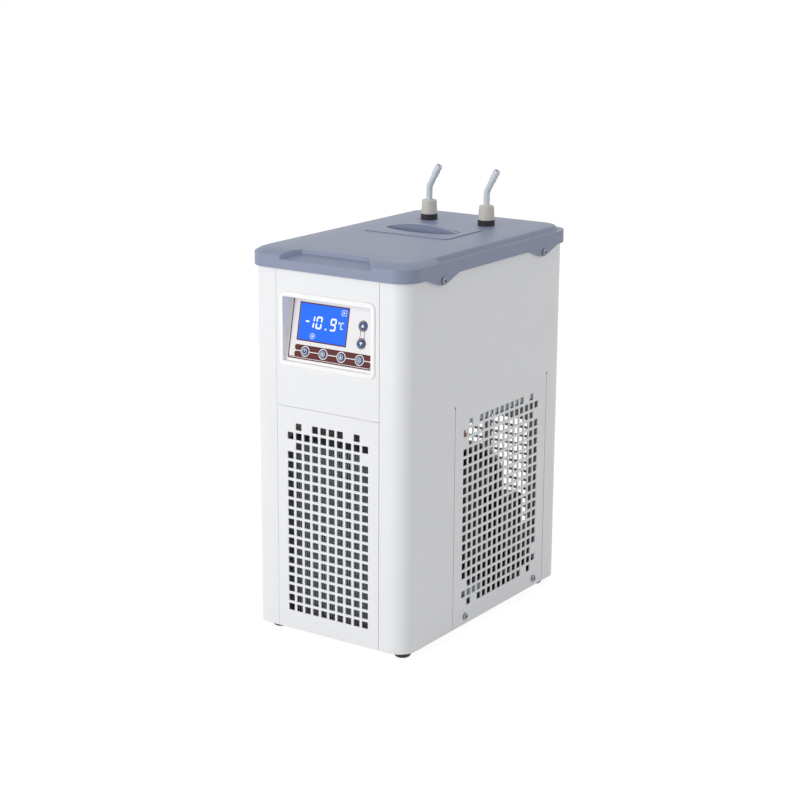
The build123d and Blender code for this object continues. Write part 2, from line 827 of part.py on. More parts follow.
# Reservoir: a steel tank in a foam jacket, with a neck up to the filler opening
tank_top = tank_floor + tank_height
neck_top = deck_level - plug_depth - 1.0
rear_ports = [
    (-pump_x, return_level, nipple_diameter, nipple_bore, 5.0),
    (pump_x, pump_port_level, nipple_diameter, nipple_bore, pump_port_reach),
    (drain_x, drain_level, drain_bore, drain_bore - 2, 12.0),
    (suction_x, suction_port_level, copper_diameter + 2, copper_diameter, 2.0),
    (capillary_x, capillary_port_level, capillary_diameter + 2, capillary_diameter, 2.0),
]
with BuildPart() as foam_jacket:
    with BuildSketch(Plane.XY.offset(base_level + shelf_level)):
        with Locations((0, tank_y)):
            RectangleRounded(tank_width + 2 * insulation, tank_length + 2 * insulation, 12)
    extrude(amount=insulation_floor + tank_height)
    with BuildSketch(Plane.XY.offset(tank_floor)):
        with Locations((0, tank_y)):
            RectangleRounded(tank_width, tank_length, 10)
    extrude(amount=tank_height, mode=Mode.SUBTRACT)
    with BuildSketch(Plane.XZ.offset(-(port_y - 2))):
        for x, z, outer, inner, reach in rear_ports:
            with Locations((x, z)):
                Circle(outer / 2)
    extrude(amount=-2 * insulation, mode=Mode.SUBTRACT)
save(foam_jacket, "foam_jacket")

with BuildPart() as reservoir:
    with BuildSketch(Plane.XY.offset(tank_floor)):
        with Locations((0, tank_y)):
            RectangleRounded(tank_width, tank_length, 10)
    extrude(amount=tank_height)
    with BuildSketch(Plane.XY.offset(tank_floor + tank_wall)):
        with Locations((0, tank_y)):
            RectangleRounded(tank_width - 2 * tank_wall, tank_length - 2 * tank_wall, 10 - tank_wall)
    extrude(amount=tank_height - 2 * tank_wall, mode=Mode.SUBTRACT)
    with BuildSketch(Plane.XY.offset(tank_top - tank_wall)):
        with Locations((0, depth_from_front(cap_centre))):
            RectangleRounded(opening_length, opening_width, 6)
    extrude(amount=neck_top - tank_top + tank_wall)
    with BuildSketch(Plane.XY.offset(tank_top - 2 * tank_wall)):
        with Locations((0, depth_from_front(cap_centre))):
            RectangleRounded(opening_length - 2 * tank_wall, opening_width - 2 * tank_wall, 5)
    extrude(amount=neck_top - tank_top + 4 * tank_wall, mode=Mode.SUBTRACT)
    for x, z, outer, inner, reach in rear_ports:
        with BuildSketch(Plane.XZ.offset(-(port_y - tank_wall))):
            with Locations((x, z)):
                Circle(outer / 2)
        extrude(amount=-(tank_wall + insulation + reach))
        with BuildSketch(Plane.XZ.offset(-(port_y - 2 * tank_wall))):
            with Locations((x, z)):
                Circle(inner / 2)
        extrude(amount=-(4 * tank_wall + insulation + reach), mode=Mode.SUBTRACT)
save(reservoir, "reservoir")

# Cold plate in the reservoir, with raised channels on both faces
plate_width = 128.0
plate_thickness = 2.0
plate_setback = 14.0
plate_face = port_y - plate_setback
with BuildPart() as evaporator_plate:
    with BuildSketch(Plane.XZ.offset(-plate_face)):
        with Locations((0, tank_floor + tank_wall)):
            Rectangle(plate_width, plate_height, align=(Align.CENTER, Align.MIN))
    extrude(amount=plate_thickness)
    with BuildSketch(Plane.XZ.offset(-plate_face - plate_thickness / 2)):
        with Locations((0, tank_floor + tank_wall + plate_height / 2)):
            with GridLocations(1, channel_pitch, 1, channel_rows):
                Rectangle(plate_width - 12, 6)
    extrude(amount=plate_thickness / 2 + 2, both=True)
save(evaporator_plate, "evaporator_plate")


def pipe(name, points, radii, diameter):
    """Sweeps a round tube along straight runs joined by bends and saves it."""
    with BuildPart() as tube:
        with BuildLine() as route:
            FilletPolyline(*points, radius=radii)
        with BuildSketch(Plane(origin=route.line @ 0, z_dir=route.line % 0)):
            Circle(diameter / 2)
        sweep(path=route.line)
    save(tube, name)


# Compressor on its rubber mounts
mount_height = 9.0
foot_plate = 3.0
compressor_y = rear_face - compressor_setback
discharge_y = compressor_y - discharge_offset
can_bottom = floor_level + mount_height + foot_plate
with BuildPart() as compressor:
    with BuildSketch(Plane.XY.offset(can_bottom)):
        with Locations((compressor_x, compressor_y)):
            Circle(compressor_diameter / 2)
    extrude(amount=compressor_height)
    fillet(compressor.edges().group_by(Axis.Z)[-1], 0.6 * compressor_diameter / 2)
    with BuildSketch(Plane.XY.offset(can_bottom)):
        with Locations((compressor_x, compressor_y)):
            RectangleRounded(mount_span_x + 24, mount_span_y + 24, 10)
    extrude(amount=-foot_plate)
    with BuildSketch(Plane.YZ.offset(suction_x + 8)):
        with Locations((depth_from_front(riser_place), suction_level)):
            Circle(copper_diameter / 2 + 2)
    extrude(amount=compressor_diameter / 3)
    with BuildSketch(Plane.XY.offset(can_bottom + compressor_height / 2)):
        with Locations((discharge_x, discharge_y)):
            Circle(copper_diameter / 2 + 2)
    extrude(amount=compressor_height / 2 + 2)
save(compressor, "compressor")

with BuildPart() as compressor_mounts:
    with Locations((compressor_x, compressor_y, floor_level)):
        with GridLocations(mount_span_x, mount_span_y, 2, 2):
            Cylinder(8, mount_height, align=(Align.CENTER, Align.CENTER, Align.MIN))
save(compressor_mounts, "compressor_mounts")

with BuildPart() as terminal_box:
    with BuildSketch(Plane.YZ.offset(compressor_x + compressor_diameter / 2)):
        with Locations((compressor_y, can_bottom + compressor_height / 2)):
            RectangleRounded(44, 52, 4)
    extrude(amount=22)
save(terminal_box, "terminal_box")

# Condenser: a finned block between two end plates
condenser_y = depth_from_front(condenser_place)
fins = 24
fin_slot = 3.2
slot_depth = 9.0
with BuildPart() as condenser:
    with BuildSketch(Plane.XY.offset(floor_level)):
        with Locations((0, condenser_y)):
            Rectangle(condenser_width, condenser_depth, align=(Align.CENTER, Align.MIN))
        fin_pitch = condenser_width / fins
        for face, align in ((condenser_y, Align.MIN), (condenser_y + condenser_depth, Align.MAX)):
            with Locations((0, face)):
                with GridLocations(fin_pitch, 1, fins - 1, 1):
                    Rectangle(fin_slot, slot_depth, align=(Align.CENTER, align), mode=Mode.SUBTRACT)
    extrude(amount=condenser_height)
save(condenser, "condenser")

# Fan: a sheet shroud, the motor on its bracket, the shaft and the bladed rotor
shroud_y = condenser_y + condenser_depth
shroud_hole = fan_diameter + 8
with BuildPart() as fan_shroud:
    with BuildSketch(Plane.XY.offset(floor_level)):
        with Locations((0, shroud_y)):
            Rectangle(condenser_width, shroud_depth, align=(Align.CENTER, Align.MIN))
    extrude(amount=condenser_height)
    offset(amount=-sheet, openings=fan_shroud.faces().sort_by(Axis.Y)[0])
    with BuildSketch(Plane.XZ.offset(-shroud_y)):
        with Locations((0, base_level + fan_level)):
            Circle(shroud_hole / 2)
    extrude(amount=-2 * shroud_depth, mode=Mode.SUBTRACT)
save(fan_shroud, "fan_shroud")

motor_diameter = 68.0
motor_length = 40.0
shaft_diameter = 6.0
hub_diameter = 34.0
hub_length = 14.0
shaft_clearance = 0.05
arm_width = 14.0
motor_y = shroud_y + shroud_depth + 2 * sheet
fan_axis = (0, base_level + fan_level)
with BuildPart() as fan_bracket:
    with BuildSketch(Plane.XZ.offset(-(shroud_y + shroud_depth))):
        with Locations(fan_axis):
            Rectangle(arm_width, shroud_hole + 2 * arm_width)
            Circle(motor_diameter / 2 - 8)
            Circle(shaft_diameter / 2 + 4, mode=Mode.SUBTRACT)
    extrude(amount=-2 * sheet)
save(fan_bracket, "fan_bracket")

with BuildPart() as fan_motor:
    with BuildSketch(Plane.XZ.offset(-motor_y)):
        with Locations(fan_axis):
            Circle(motor_diameter / 2)
    extrude(amount=-motor_length)
    fillet(fan_motor.edges().sort_by(Axis.Y)[-1], 8)
    with BuildSketch(Plane.XZ.offset(-motor_y)):
        with Locations(fan_axis):
            Circle(shaft_diameter / 2 + shaft_clearance)
    extrude(amount=-motor_length / 2, mode=Mode.SUBTRACT)
save(fan_motor, "fan_motor")

rotor_y = motor_y - 2 * sheet - hub_length - 5.0
with BuildPart() as fan_shaft:
    with BuildSketch(Plane.XZ.offset(-rotor_y)):
        with Locations(fan_axis):
            Circle(shaft_diameter / 2)
    extrude(amount=-(motor_y - rotor_y + motor_length / 2 - 1))
save(fan_shaft, "fan_shaft")

blades = 5
blade_pitch = 28.0
with BuildPart() as fan_rotor:
    with BuildSketch(Plane.XZ.offset(-rotor_y)):
        with Locations(fan_axis):
            Circle(hub_diameter / 2)
    extrude(amount=-hub_length)
    for turn in range(blades):
        angle = math.radians(turn * 360 / blades)
        radial = Vector(math.cos(angle), 0, math.sin(angle))
        blade_plane = Plane(
            origin=Vector(fan_axis[0], rotor_y + hub_length / 2, fan_axis[1]),
            x_dir=radial,
            z_dir=Vector(0, 1, 0).rotate(Axis((0, 0, 0), radial), blade_pitch),
        )
        with BuildSketch(blade_plane):
            with BuildLine():
                Polyline(
                    (hub_diameter / 2 - 2, -9),
                    (hub_diameter / 2 - 2, 9),
                    (0.36 * fan_diameter, 17),
                    (0.47 * fan_diameter, 15),
                    (0.49 * fan_diameter, -6),
                    (0.4 * fan_diameter, -15),
                    close=True,
                )
            make_face()
        extrude(amount=0.8, both=True)
    with BuildSketch(Plane.XZ.offset(-rotor_y + hub_length)):
        with Locations(fan_axis):
            Circle(shaft_diameter / 2)
    extrude(amount=-3 * hub_length, mode=Mode.SUBTRACT)
save(fan_rotor, "fan_rotor")

# Filter drier and the copper pipes
drier_diameter = 20.0
with BuildPart() as filter_drier:
    with BuildSketch(Plane.XZ) as drier_section:
        with BuildLine():
            Polyline(
                (0, drier_bottom),
                (copper_diameter / 2 + 1, drier_bottom),
                (copper_diameter / 2 + 1, drier_bottom + 8),
                (drier_diameter / 2, drier_bottom + 16),
                (drier_diameter / 2, drier_bottom + 74),
                (copper_diameter / 2 + 1, drier_bottom + 82),
                (copper_diameter / 2 + 1, drier_bottom + drier_length),
                (0, drier_bottom + drier_length),
                close=True,
            )
        make_face()
    revolve(axis=Axis.Z)
filter_drier.part.locate(Location((drier_x, depth_from_front(drier_place), 0)))
save(filter_drier, "filter_drier")

riser_y = depth_from_front(riser_place)
pipe(
    "suction_line",
    [
        (suction_x, plate_face, suction_port_level),
        (suction_x, riser_y, suction_port_level),
        (suction_x, riser_y, suction_level),
        (suction_x + 8, riser_y, suction_level),
    ],
    [14, 7.9],
    copper_diameter,
)
pipe(
    "discharge_line",
    [
        (discharge_x, discharge_y, can_bottom + compressor_height + 2),
        (discharge_x, discharge_y, discharge_crest),
        (riser_x, depth_from_front(drier_place), discharge_crest),
        (riser_x, depth_from_front(drier_place), discharge_port_level),
        (riser_x, condenser_y + condenser_depth / 2, discharge_port_level),
        (condenser_width / 2, condenser_y + condenser_depth / 2, discharge_port_level),
    ],
    [14, 14, 14, 5],
    copper_diameter,
)
pipe(
    "liquid_line",
    [
        (-condenser_width / 2, condenser_y + condenser_depth / 2, liquid_port_level),
        (drier_x, condenser_y + condenser_depth / 2, liquid_port_level),
        (drier_x, depth_from_front(drier_place), liquid_port_level),
        (drier_x, depth_from_front(drier_place), drier_bottom),
    ],
    [5, 14],
    copper_diameter,
)
pipe(
    "capillary_tube",
    [
        (drier_x, depth_from_front(drier_place), drier_bottom + drier_length),
        (drier_x, depth_from_front(drier_place), capillary_crest),
        (capillary_x, riser_y, capillary_crest),
        (capillary_x, riser_y, capillary_port_level),
        (capillary_x, plate_face, capillary_port_level),
    ],
    [10, 10, 10],
    capillary_diameter,
)

# Circulation pump on the shelf, and the hoses of the water side
with BuildPart() as pump_motor:
    with BuildSketch(Plane.XY.offset(shelf_top)):
        with Locations((pump_x, pump_y + pump_offset)):
            Circle(pump_radius)
    extrude(amount=pump_motor_height)
save(pump_motor, "pump_motor")

with BuildPart() as pump_head:
    with BuildSketch(Plane.XY.offset(shelf_top + pump_motor_height)):
        with Locations((pump_x, pump_y + pump_offset)):
            Circle(pump_radius + 2)
    extrude(amount=pump_head_height)
    with BuildSketch(Plane.XY.offset(pump_top)):
        with Locations((pump_x, pump_y)):
            Circle(nipple_diameter / 2)
    extrude(amount=14)
    with BuildSketch(Plane.XZ.offset(-(pump_y + pump_offset))):
        with Locations((pump_x, pump_port_level)):
            Circle(nipple_diameter / 2)
    extrude(amount=pump_y + pump_offset - (port_y + insulation + pump_port_reach))
save(pump_head, "pump_head")

with BuildPart() as supply_hose:
    with BuildSketch(Plane.XY.offset(pump_top)):
        with Locations((pump_x, pump_y)):
            Circle(hose_diameter / 2)
            Circle(nipple_diameter / 2, mode=Mode.SUBTRACT)
    extrude(amount=hose_top + hose_overlap - pump_top)
save(supply_hose, "supply_hose")

with BuildPart() as return_hose:
    with BuildLine() as route:
        FilletPolyline(
            (-pump_x, pump_y, hose_top + hose_overlap),
            (-pump_x, pump_y, return_level),
            (-pump_x, port_y + insulation + fit_gap, return_level),
            radius=hose_bend,
        )
    for diameter, mode in ((hose_diameter, Mode.ADD), (nipple_diameter, Mode.SUBTRACT)):
        with BuildSketch(Plane.XY.offset(hose_top + hose_overlap)):
            with Locations((-pump_x, pump_y)):
                Circle(diameter / 2)
        sweep(path=route.line, mode=mode)
save(return_hose, "return_hose")

# Drain: a tube from the reservoir through the rear panel, closed by a plug
plug_head = 3.0
with BuildPart() as drain_fitting:
    with BuildSketch(Plane.XZ.offset(-(port_y + insulation + fit_gap))):
        with Locations((drain_x, drain_level)):
            Circle(drain_diameter / 2)
            Circle(drain_bore / 2, mode=Mode.SUBTRACT)
    extrude(amount=-(rear_face - port_y - insulation - fit_gap))
    with BuildSketch(Plane.XZ.offset(-(rear_face - sheet))):
        with Locations((drain_x, drain_level)):
            Circle(drain_diameter / 2 + 4)
            Circle(drain_bore / 2, mode=Mode.SUBTRACT)
    extrude(amount=4)
save(drain_fitting, "drain_fitting")

with BuildPart() as drain_plug:
    with BuildSketch(Plane.XZ.offset(-rear_face)):
        with Locations((drain_x, drain_level)):
            Circle(drain_diameter / 2 + 3)
    extrude(amount=-plug_head)
    with BuildSketch(Plane.XZ.offset(-rear_face)):
        with Locations((drain_x, drain_level)):
            Circle(drain_bore / 2)
    extrude(amount=10)
    with BuildSketch(Plane.XZ.offset(-rear_face - plug_head)):
        with Locations((drain_x, drain_level)):
            Rectangle(drain_diameter, 2)
    extrude(amount=1.5, mode=Mode.SUBTRACT)
save(drain_plug, "drain_plug")

# Mains inlet: a moulded shell with three pins, and the rocker switch beside it
inlet_flange = 2.4
socket_depth = 16.0
with BuildPart() as mains_inlet:
    with BuildSketch(Plane.XZ.offset(-rear_face)):
        with Locations((inlet_x, inlet_level)):
            RectangleRounded(inlet_width + 4, inlet_height + 4, 3)
    extrude(amount=-inlet_flange)
    with BuildSketch(Plane.XZ.offset(-rear_face)):
        with Locations((inlet_x, inlet_level)):
            Rectangle(inlet_width - 2 * fit_gap, inlet_height - 2 * fit_gap)
    extrude(amount=socket_depth + 2)
    with BuildSketch(Plane.XZ.offset(-rear_face - inlet_flange)):
        with Locations((inlet_x, inlet_level)):
            Rectangle(inlet_width - 4, inlet_height - 4)
    extrude(amount=socket_depth + inlet_flange, mode=Mode.SUBTRACT)
    with BuildSketch(Plane.XZ.offset(-(rear_face - socket_depth))):
        for x, z in ((-7, -2), (0, 2), (7, -2)):
            with Locations((inlet_x + x, inlet_level + z)):
                Rectangle(2, 4)
    extrude(amount=-(socket_depth - 5))
save(mains_inlet, "mains_inlet")

rocker_clearance = 0.6
switch_depth = 14.0
rocker_travel = 10.0
with BuildPart() as mains_switch:
    with BuildSketch(Plane.XZ.offset(-rear_face)):
        with Locations((switch_x, inlet_level)):
            RectangleRounded(switch_width + 3, switch_height + 3, 1.5)
    extrude(amount=-1.2)
    with BuildSketch(Plane.XZ.offset(-rear_face)):
        with Locations((switch_x, inlet_level)):
            Rectangle(switch_width - 2 * fit_gap, switch_height - 2 * fit_gap)
    extrude(amount=switch_depth)
    with BuildSketch(Plane.XZ.offset(-rear_face - 1.2)):
        with Locations((switch_x, inlet_level)):
            Rectangle(rocker_width + 2 * rocker_clearance, rocker_height + 2 * rocker_clearance)
    extrude(amount=switch_depth - 1, mode=Mode.SUBTRACT)
save(mains_switch, "mains_switch")

with BuildPart() as switch_rocker:
    with BuildSketch(Plane.XY.offset(inlet_level - rocker_height / 2)):
        with BuildLine():
            half = rocker_width / 2 - rocker_clearance
            back = rear_face - 5
            tilt = math.radians(rocker_travel)
            Polyline(
                (switch_x - half, back),
                (switch_x - half, rear_face + 0.4),
                (switch_x, rear_face + 1.2),
                (switch_x + half, rear_face + 0.4 + 2 * half * math.tan(tilt / 2)),
                (switch_x + half, back),
                close=True,
            )
        make_face()
    extrude(amount=rocker_height)
save(switch_rocker, "switch_rocker")

# Power supply: a box with cooling ribs on its lid
supply_width = 44.0
supply_length = 84.0
supply_height = 32.0
rib_height = 6.0
ribs = 9
with BuildPart() as power_supply:
    with BuildSketch(Plane.XY.offset(floor_level)):
        with Locations((supply_x, depth_from_front(supply_place))):
            Rectangle(supply_width, supply_length)
    extrude(amount=supply_height)
    with BuildSketch(Plane.XY.offset(floor_level + supply_height)):
        with Locations((supply_x, depth_from_front(supply_place))):
            with GridLocations(1, supply_length / ribs, 1, ribs):
                Rectangle(supply_width, 3)
    extrude(amount=rib_height)
save(power_supply, "power_supply")
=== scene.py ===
"""Benchtop recirculating chiller: finishes, printed panel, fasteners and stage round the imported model.

Metres, +Z up, the control panel faces -Y and the origin is on the floor under the cabinet's middle.
"""

import json
import math

import bmesh
import bpy
from mathutils import Matrix, Vector

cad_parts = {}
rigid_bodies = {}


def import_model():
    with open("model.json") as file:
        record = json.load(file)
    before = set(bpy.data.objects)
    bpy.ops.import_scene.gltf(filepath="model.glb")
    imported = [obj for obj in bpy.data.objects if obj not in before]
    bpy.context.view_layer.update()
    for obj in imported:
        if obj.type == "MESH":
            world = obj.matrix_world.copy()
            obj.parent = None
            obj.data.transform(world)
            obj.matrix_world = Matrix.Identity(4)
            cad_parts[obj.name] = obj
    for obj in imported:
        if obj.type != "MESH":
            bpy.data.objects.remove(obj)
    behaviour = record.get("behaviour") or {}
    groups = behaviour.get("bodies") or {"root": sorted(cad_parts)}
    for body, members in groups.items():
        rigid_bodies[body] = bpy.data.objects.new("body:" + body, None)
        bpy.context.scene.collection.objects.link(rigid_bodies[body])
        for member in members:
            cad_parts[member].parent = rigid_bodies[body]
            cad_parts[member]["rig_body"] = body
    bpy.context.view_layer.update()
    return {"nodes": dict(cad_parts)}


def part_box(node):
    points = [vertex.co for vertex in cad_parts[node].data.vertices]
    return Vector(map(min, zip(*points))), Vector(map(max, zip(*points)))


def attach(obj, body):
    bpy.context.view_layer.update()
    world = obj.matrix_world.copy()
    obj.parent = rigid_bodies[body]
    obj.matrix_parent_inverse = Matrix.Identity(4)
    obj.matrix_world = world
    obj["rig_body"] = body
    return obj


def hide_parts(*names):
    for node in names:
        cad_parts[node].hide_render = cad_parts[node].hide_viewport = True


bl_info = {
    "name": "Recirculating chiller",
    "version": (1, 0, 0),
    "blender": (4, 5, 0),
    "location": "View3D > Sidebar > Chiller",
    "description": "Finishes, printed panel, fasteners and stage of a benchtop recirculating chiller",
    "category": "Object",
}

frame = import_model()
MM = 0.001
MERGE = 2e-6

OVERLAY_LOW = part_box("keypad_overlay")[0]
CONDENSER_LOW, CONDENSER_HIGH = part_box("condenser")
FIN_THICKNESS = 0.8 * MM
END_PLATE = 2.0 * MM
TUBE_RADIUS = 4.0 * MM
TUBE_LEVELS = 8
TUBE_DEPTHS = (0.28, 0.72)

# The camera of the photograph: its place, its angles in radians and its lens in millimetres
CAMERA_PLACE = (1.1583, -1.7492, 0.7928)
CAMERA_TURN = 0.5921
CAMERA_DROP = 0.2551
CAMERA_ROLL = 0.0061
CAMERA_LENS = 85.35
CAMERA_SENSOR = 36.0

# Soft boxes: place, side and power
LIGHTS = {
    "key_light": ((-0.9, -2.7, 0.95), 1.8, 39),
    "top_light": ((0.0, 0.5, 2.6), 2.0, 9),
    "side_light": ((2.4, 1.1, 1.5), 1.6, 5.5),
}
LIGHTS_AIM = (0, 0, 0.22)
WORLD_FILL = 0.46
FLOOR_PAPER = (0.92, 0.92, 0.92, 1)
FLOOR_GLOW = 1.15
FLOOR_SHARE = 0.8


def srgb(value):
    """Turns a hex colour such as 0xEFF0F2 into linear red, green and blue."""
    parts = [((value >> shift) & 255) / 255 for shift in (16, 8, 0)]
    return tuple(c / 12.92 if c <= 0.04045 else ((c + 0.055) / 1.055) ** 2.4 for c in parts)


def colour_of(name, text, value):
    """A colour that a user may change."""
    return bpy.props.FloatVectorProperty(
        name=name, description=text, subtype="COLOR", size=3, min=0, max=1, default=srgb(value)
    )


def length_of(name, text, millimetres):
    """A length that a user may change."""
    return bpy.props.FloatProperty(
        name=name, description=text, subtype="DISTANCE", unit="LENGTH", default=millimetres * MM
    )


class ChillerColours(bpy.types.PropertyGroup):
    """Colours of the chiller's finishes."""

    cabinet: colour_of("Cabinet", "Powder coat of the sheet steel", 0xEFF0F2)
    cover: colour_of("Top cover", "Moulded top cover and filler cap", 0x8890AA)
    collar: colour_of("Collars", "Moulded collars of the hose nipples", 0xD2CEC6)
    tube: colour_of("Nipples", "Bent tubes of the hose nipples", 0xD5DCE4)
    rubber: colour_of("Rubber", "Feet and gaskets", 0x1A1B1E)
    bezel: colour_of("Panel housing", "Moulded housing round the keys", 0xFAFAFB)
    film: colour_of("Panel film", "Printed film over the panel", 0xEAE9EA)
    maroon: colour_of("Printed bands", "Bands and lines printed on the film", 0x5C1E20)
    display: colour_of("Display", "Backlight of the display", 0x2270FA)
    key: colour_of("Keys", "Moulded keys", 0x123F70)


class ChillerSizes(bpy.types.PropertyGroup):
    """Sizes of the printed panel, the fasteners and the edges."""

    cover_edge: length_of("Cover edge", "Radius of the top cover's edges", 0.7)
    bezel_edge: length_of("Housing edge", "Radius of the panel housing's edges", 0.5)
    print_line: length_of("Printed line", "Width of the lines printed on the film", 1.3)
    digit_height: length_of("Digit height", "Height of the display's digits", 13.7)
    digit_width: length_of("Digit width", "Width of the display's digits", 7.8)
    stroke: length_of("Digit stroke", "Width of the bars in a digit", 1.85)
    fin_pitch: length_of("Fin pitch", "Distance between the condenser's fins", 2.6)
    recess: length_of("Cross recess", "Length of the cross recess in a screw", 4.2)


# Materials


def add_node(tree, kind, links=None, **settings):
    """Adds a node with its settings and links its inputs to other nodes' outputs."""
    made = tree.nodes.new(kind)
    for name, value in settings.items():
        if name in made.bl_rna.properties:
            setattr(made, name, value)
        else:
            made.inputs[name.replace("_", " ")].default_value = value
    for name, output in (links or {}).items():
        tree.links.new(output, made.inputs[name])
    return made


def new_material(name, colour, roughness, metallic=0.0, **more):
    """A material with one Principled surface; returns it with its node tree, surface and coordinates."""
    made = bpy.data.materials.new(name)
    made.use_nodes = True
    tree = made.node_tree
    tree.nodes.clear()
    shader = add_node(tree, "ShaderNodeBsdfPrincipled", Metallic=metallic, Roughness=roughness, **more)
    shader.inputs["Base Color"].default_value = (*colour, 1)
    add_node(tree, "ShaderNodeOutputMaterial", {"Surface": shader.outputs[0]})
    coordinates = add_node(tree, "ShaderNodeTexCoord")
    made.diffuse_color = (*colour, 1)
    return made, tree, shader, coordinates.outputs["Object"]


def mottle(tree, shader, place, colour, size, amount):
    """Varies the base colour softly, in patches of a real size in metres."""
    noise = add_node(tree, "ShaderNodeTexNoise", {"Vector": place}, Scale=1 / size, Detail=3.0)
    mix = add_node(tree, "ShaderNodeMix", {"Factor": noise.outputs["Fac"]}, data_type="RGBA")
    mix.inputs["A"].default_value = (*[c * (1 - amount) for c in colour], 1)
    mix.inputs["B"].default_value = (*[min(1, c * (1 + amount)) for c in colour], 1)
    tree.links.new(mix.outputs["Result"], shader.inputs["Base Color"])
    return noise


def relief(tree, shader, height, strength, depth):
    """Turns a height pattern into surface relief of a real depth in metres."""
    bump = add_node(tree, "ShaderNodeBump", {"Height": height}, Strength=strength, Distance=depth)
    tree.links.new(bump.outputs["Normal"], shader.inputs["Normal"])


def powder_coat(name, colour):
    """Polyester powder coat on steel: satin, with a soft orange peel, drawn 3 mm coarse so that it shows."""
    made, tree, shader, place = new_material(name, colour, 0.38, IOR=1.5)
    mottle(tree, shader, place, colour, 60 * MM, 0.012)
    peel = add_node(tree, "ShaderNodeTexNoise", {"Vector": place}, Scale=1 / (3 * MM), Detail=2.0)
    relief(tree, shader, peel.outputs["Fac"], 0.25, 0.06 * MM)
    return made


def moulded_plastic(name, colour, roughness, grain=1.2):
    """Injection-moulded ABS: even colour, with the fine spark-eroded grain of the mould."""
    made, tree, shader, place = new_material(name, colour, roughness, IOR=1.53)
    mottle(tree, shader, place, colour, 35 * MM, 0.015)
    spark = add_node(tree, "ShaderNodeTexNoise", {"Vector": place}, Scale=1 / (grain * MM), Detail=4.0)
    relief(tree, shader, spark.outputs["Fac"], 0.3, 0.05 * MM)
    return made


def moulded_rubber(name, colour):
    """Vulcanised rubber: matt, with a dusty bloom in patches."""
    made, tree, shader, place = new_material(name, colour, 0.62, IOR=1.52)
    mottle(tree, shader, place, colour, 5 * MM, 0.35)
    skin = add_node(tree, "ShaderNodeTexNoise", {"Vector": place}, Scale=1 / (0.8 * MM), Detail=4.0)
    relief(tree, shader, skin.outputs["Fac"], 0.4, 0.08 * MM)
    return made


def drawn_polyethylene(name, colour):
    """Natural polyethylene tube: milky, light passes through it and its surface is waxy."""
    made, tree, shader, place = new_material(
        name,
        colour,
        0.32,
        IOR=1.51,
        Subsurface_Weight=0.25,
        Subsurface_Scale=1.5 * MM,
        Subsurface_Radius=(1, 1, 1),
    )
    haze = add_node(tree, "ShaderNodeTexNoise", {"Vector": place}, Scale=1 / (6 * MM), Detail=2.0)
    relief(tree, shader, haze.outputs["Fac"], 0.2, 0.05 * MM)
    return made


def rolled_metal(name, colour, roughness, streak, along="Z"):
    """Bare sheet or bar: metallic, with rolling marks drawn out along one axis."""
    made, tree, shader, place = new_material(name, colour, roughness, 1.0)
    stretch = {"X": (1, 12, 12), "Y": (12, 1, 12), "Z": (12, 12, 1)}[along]
    turned = add_node(tree, "ShaderNodeMapping", {"Vector": place})
    turned.inputs["Scale"].default_value = stretch
    marks = add_node(
        tree, "ShaderNodeTexNoise", {"Vector": turned.outputs[0]}, Scale=1 / (streak * MM), Detail=3.0
    )
    spread = add_node(
        tree,
        "ShaderNodeMapRange",
        {"Value": marks.outputs["Fac"]},
        To_Min=roughness - 0.08,
        To_Max=roughness + 0.1,
    )
    tree.links.new(spread.outputs["Result"], shader.inputs["Roughness"])
    relief(tree, shader, marks.outputs["Fac"], 0.15, 0.03 * MM)
    return made


def fin_stock(name, colour):
    """Coated aluminium fins: matt grey, dustier in patches."""
    made, tree, shader, place = new_material(name, colour, 0.6, 0.25)
    mottle(tree, shader, place, colour, 25 * MM, 0.2)
    return made


def galvanised_sheet(name, colour):
    """Hot-dip galvanised steel: dull metal with zinc spangle about 9 mm across."""
    made, tree, shader, place = new_material(name, colour, 0.45, 0.85)
    spangle = add_node(tree, "ShaderNodeTexVoronoi", {"Vector": place}, Scale=1 / (9 * MM))
    grey = add_node(tree, "ShaderNodeRGBToBW", {"Color": spangle.outputs["Color"]})
    mix = add_node(tree, "ShaderNodeMix", {"Factor": grey.outputs[0]}, data_type="RGBA")
    mix.inputs["A"].default_value = (*[c * 0.8 for c in colour], 1)
    mix.inputs["B"].default_value = (*[min(1, c * 1.15) for c in colour], 1)
    tree.links.new(mix.outputs["Result"], shader.inputs["Base Color"])
    return made


def drawn_copper(name, colour):
    """Soft-drawn copper pipe: bright where rubbed, browner in patches of tarnish."""
    made, tree, shader, place = new_material(name, colour, 0.3, 1.0)
    noise = mottle(tree, shader, place, colour, 18 * MM, 0.3)
    spread = add_node(tree, "ShaderNodeMapRange", {"Value": noise.outputs["Fac"]}, To_Min=0.22, To_Max=0.45)
    tree.links.new(spread.outputs["Result"], shader.inputs["Roughness"])
    return made


def rigid_foam(name, colour):
    """Closed-cell insulation foam: matt, with cut cells about 2 mm across."""
    made, tree, shader, place = new_material(name, colour, 0.85)
    mottle(tree, shader, place, colour, 12 * MM, 0.06)
    cells = add_node(tree, "ShaderNodeTexVoronoi", {"Vector": place}, Scale=1 / (2 * MM))
    relief(tree, shader, cells.outputs["Distance"], 0.5, 0.4 * MM)
    return made


def printed_ink(name, colour):
    """Screen-printed ink on polyester film: even and matt."""
    made, tree, shader, place = new_material(name, colour, 0.5, Specular_IOR_Level=0.25)
    mottle(tree, shader, place, colour, 4 * MM, 0.03)
    return made


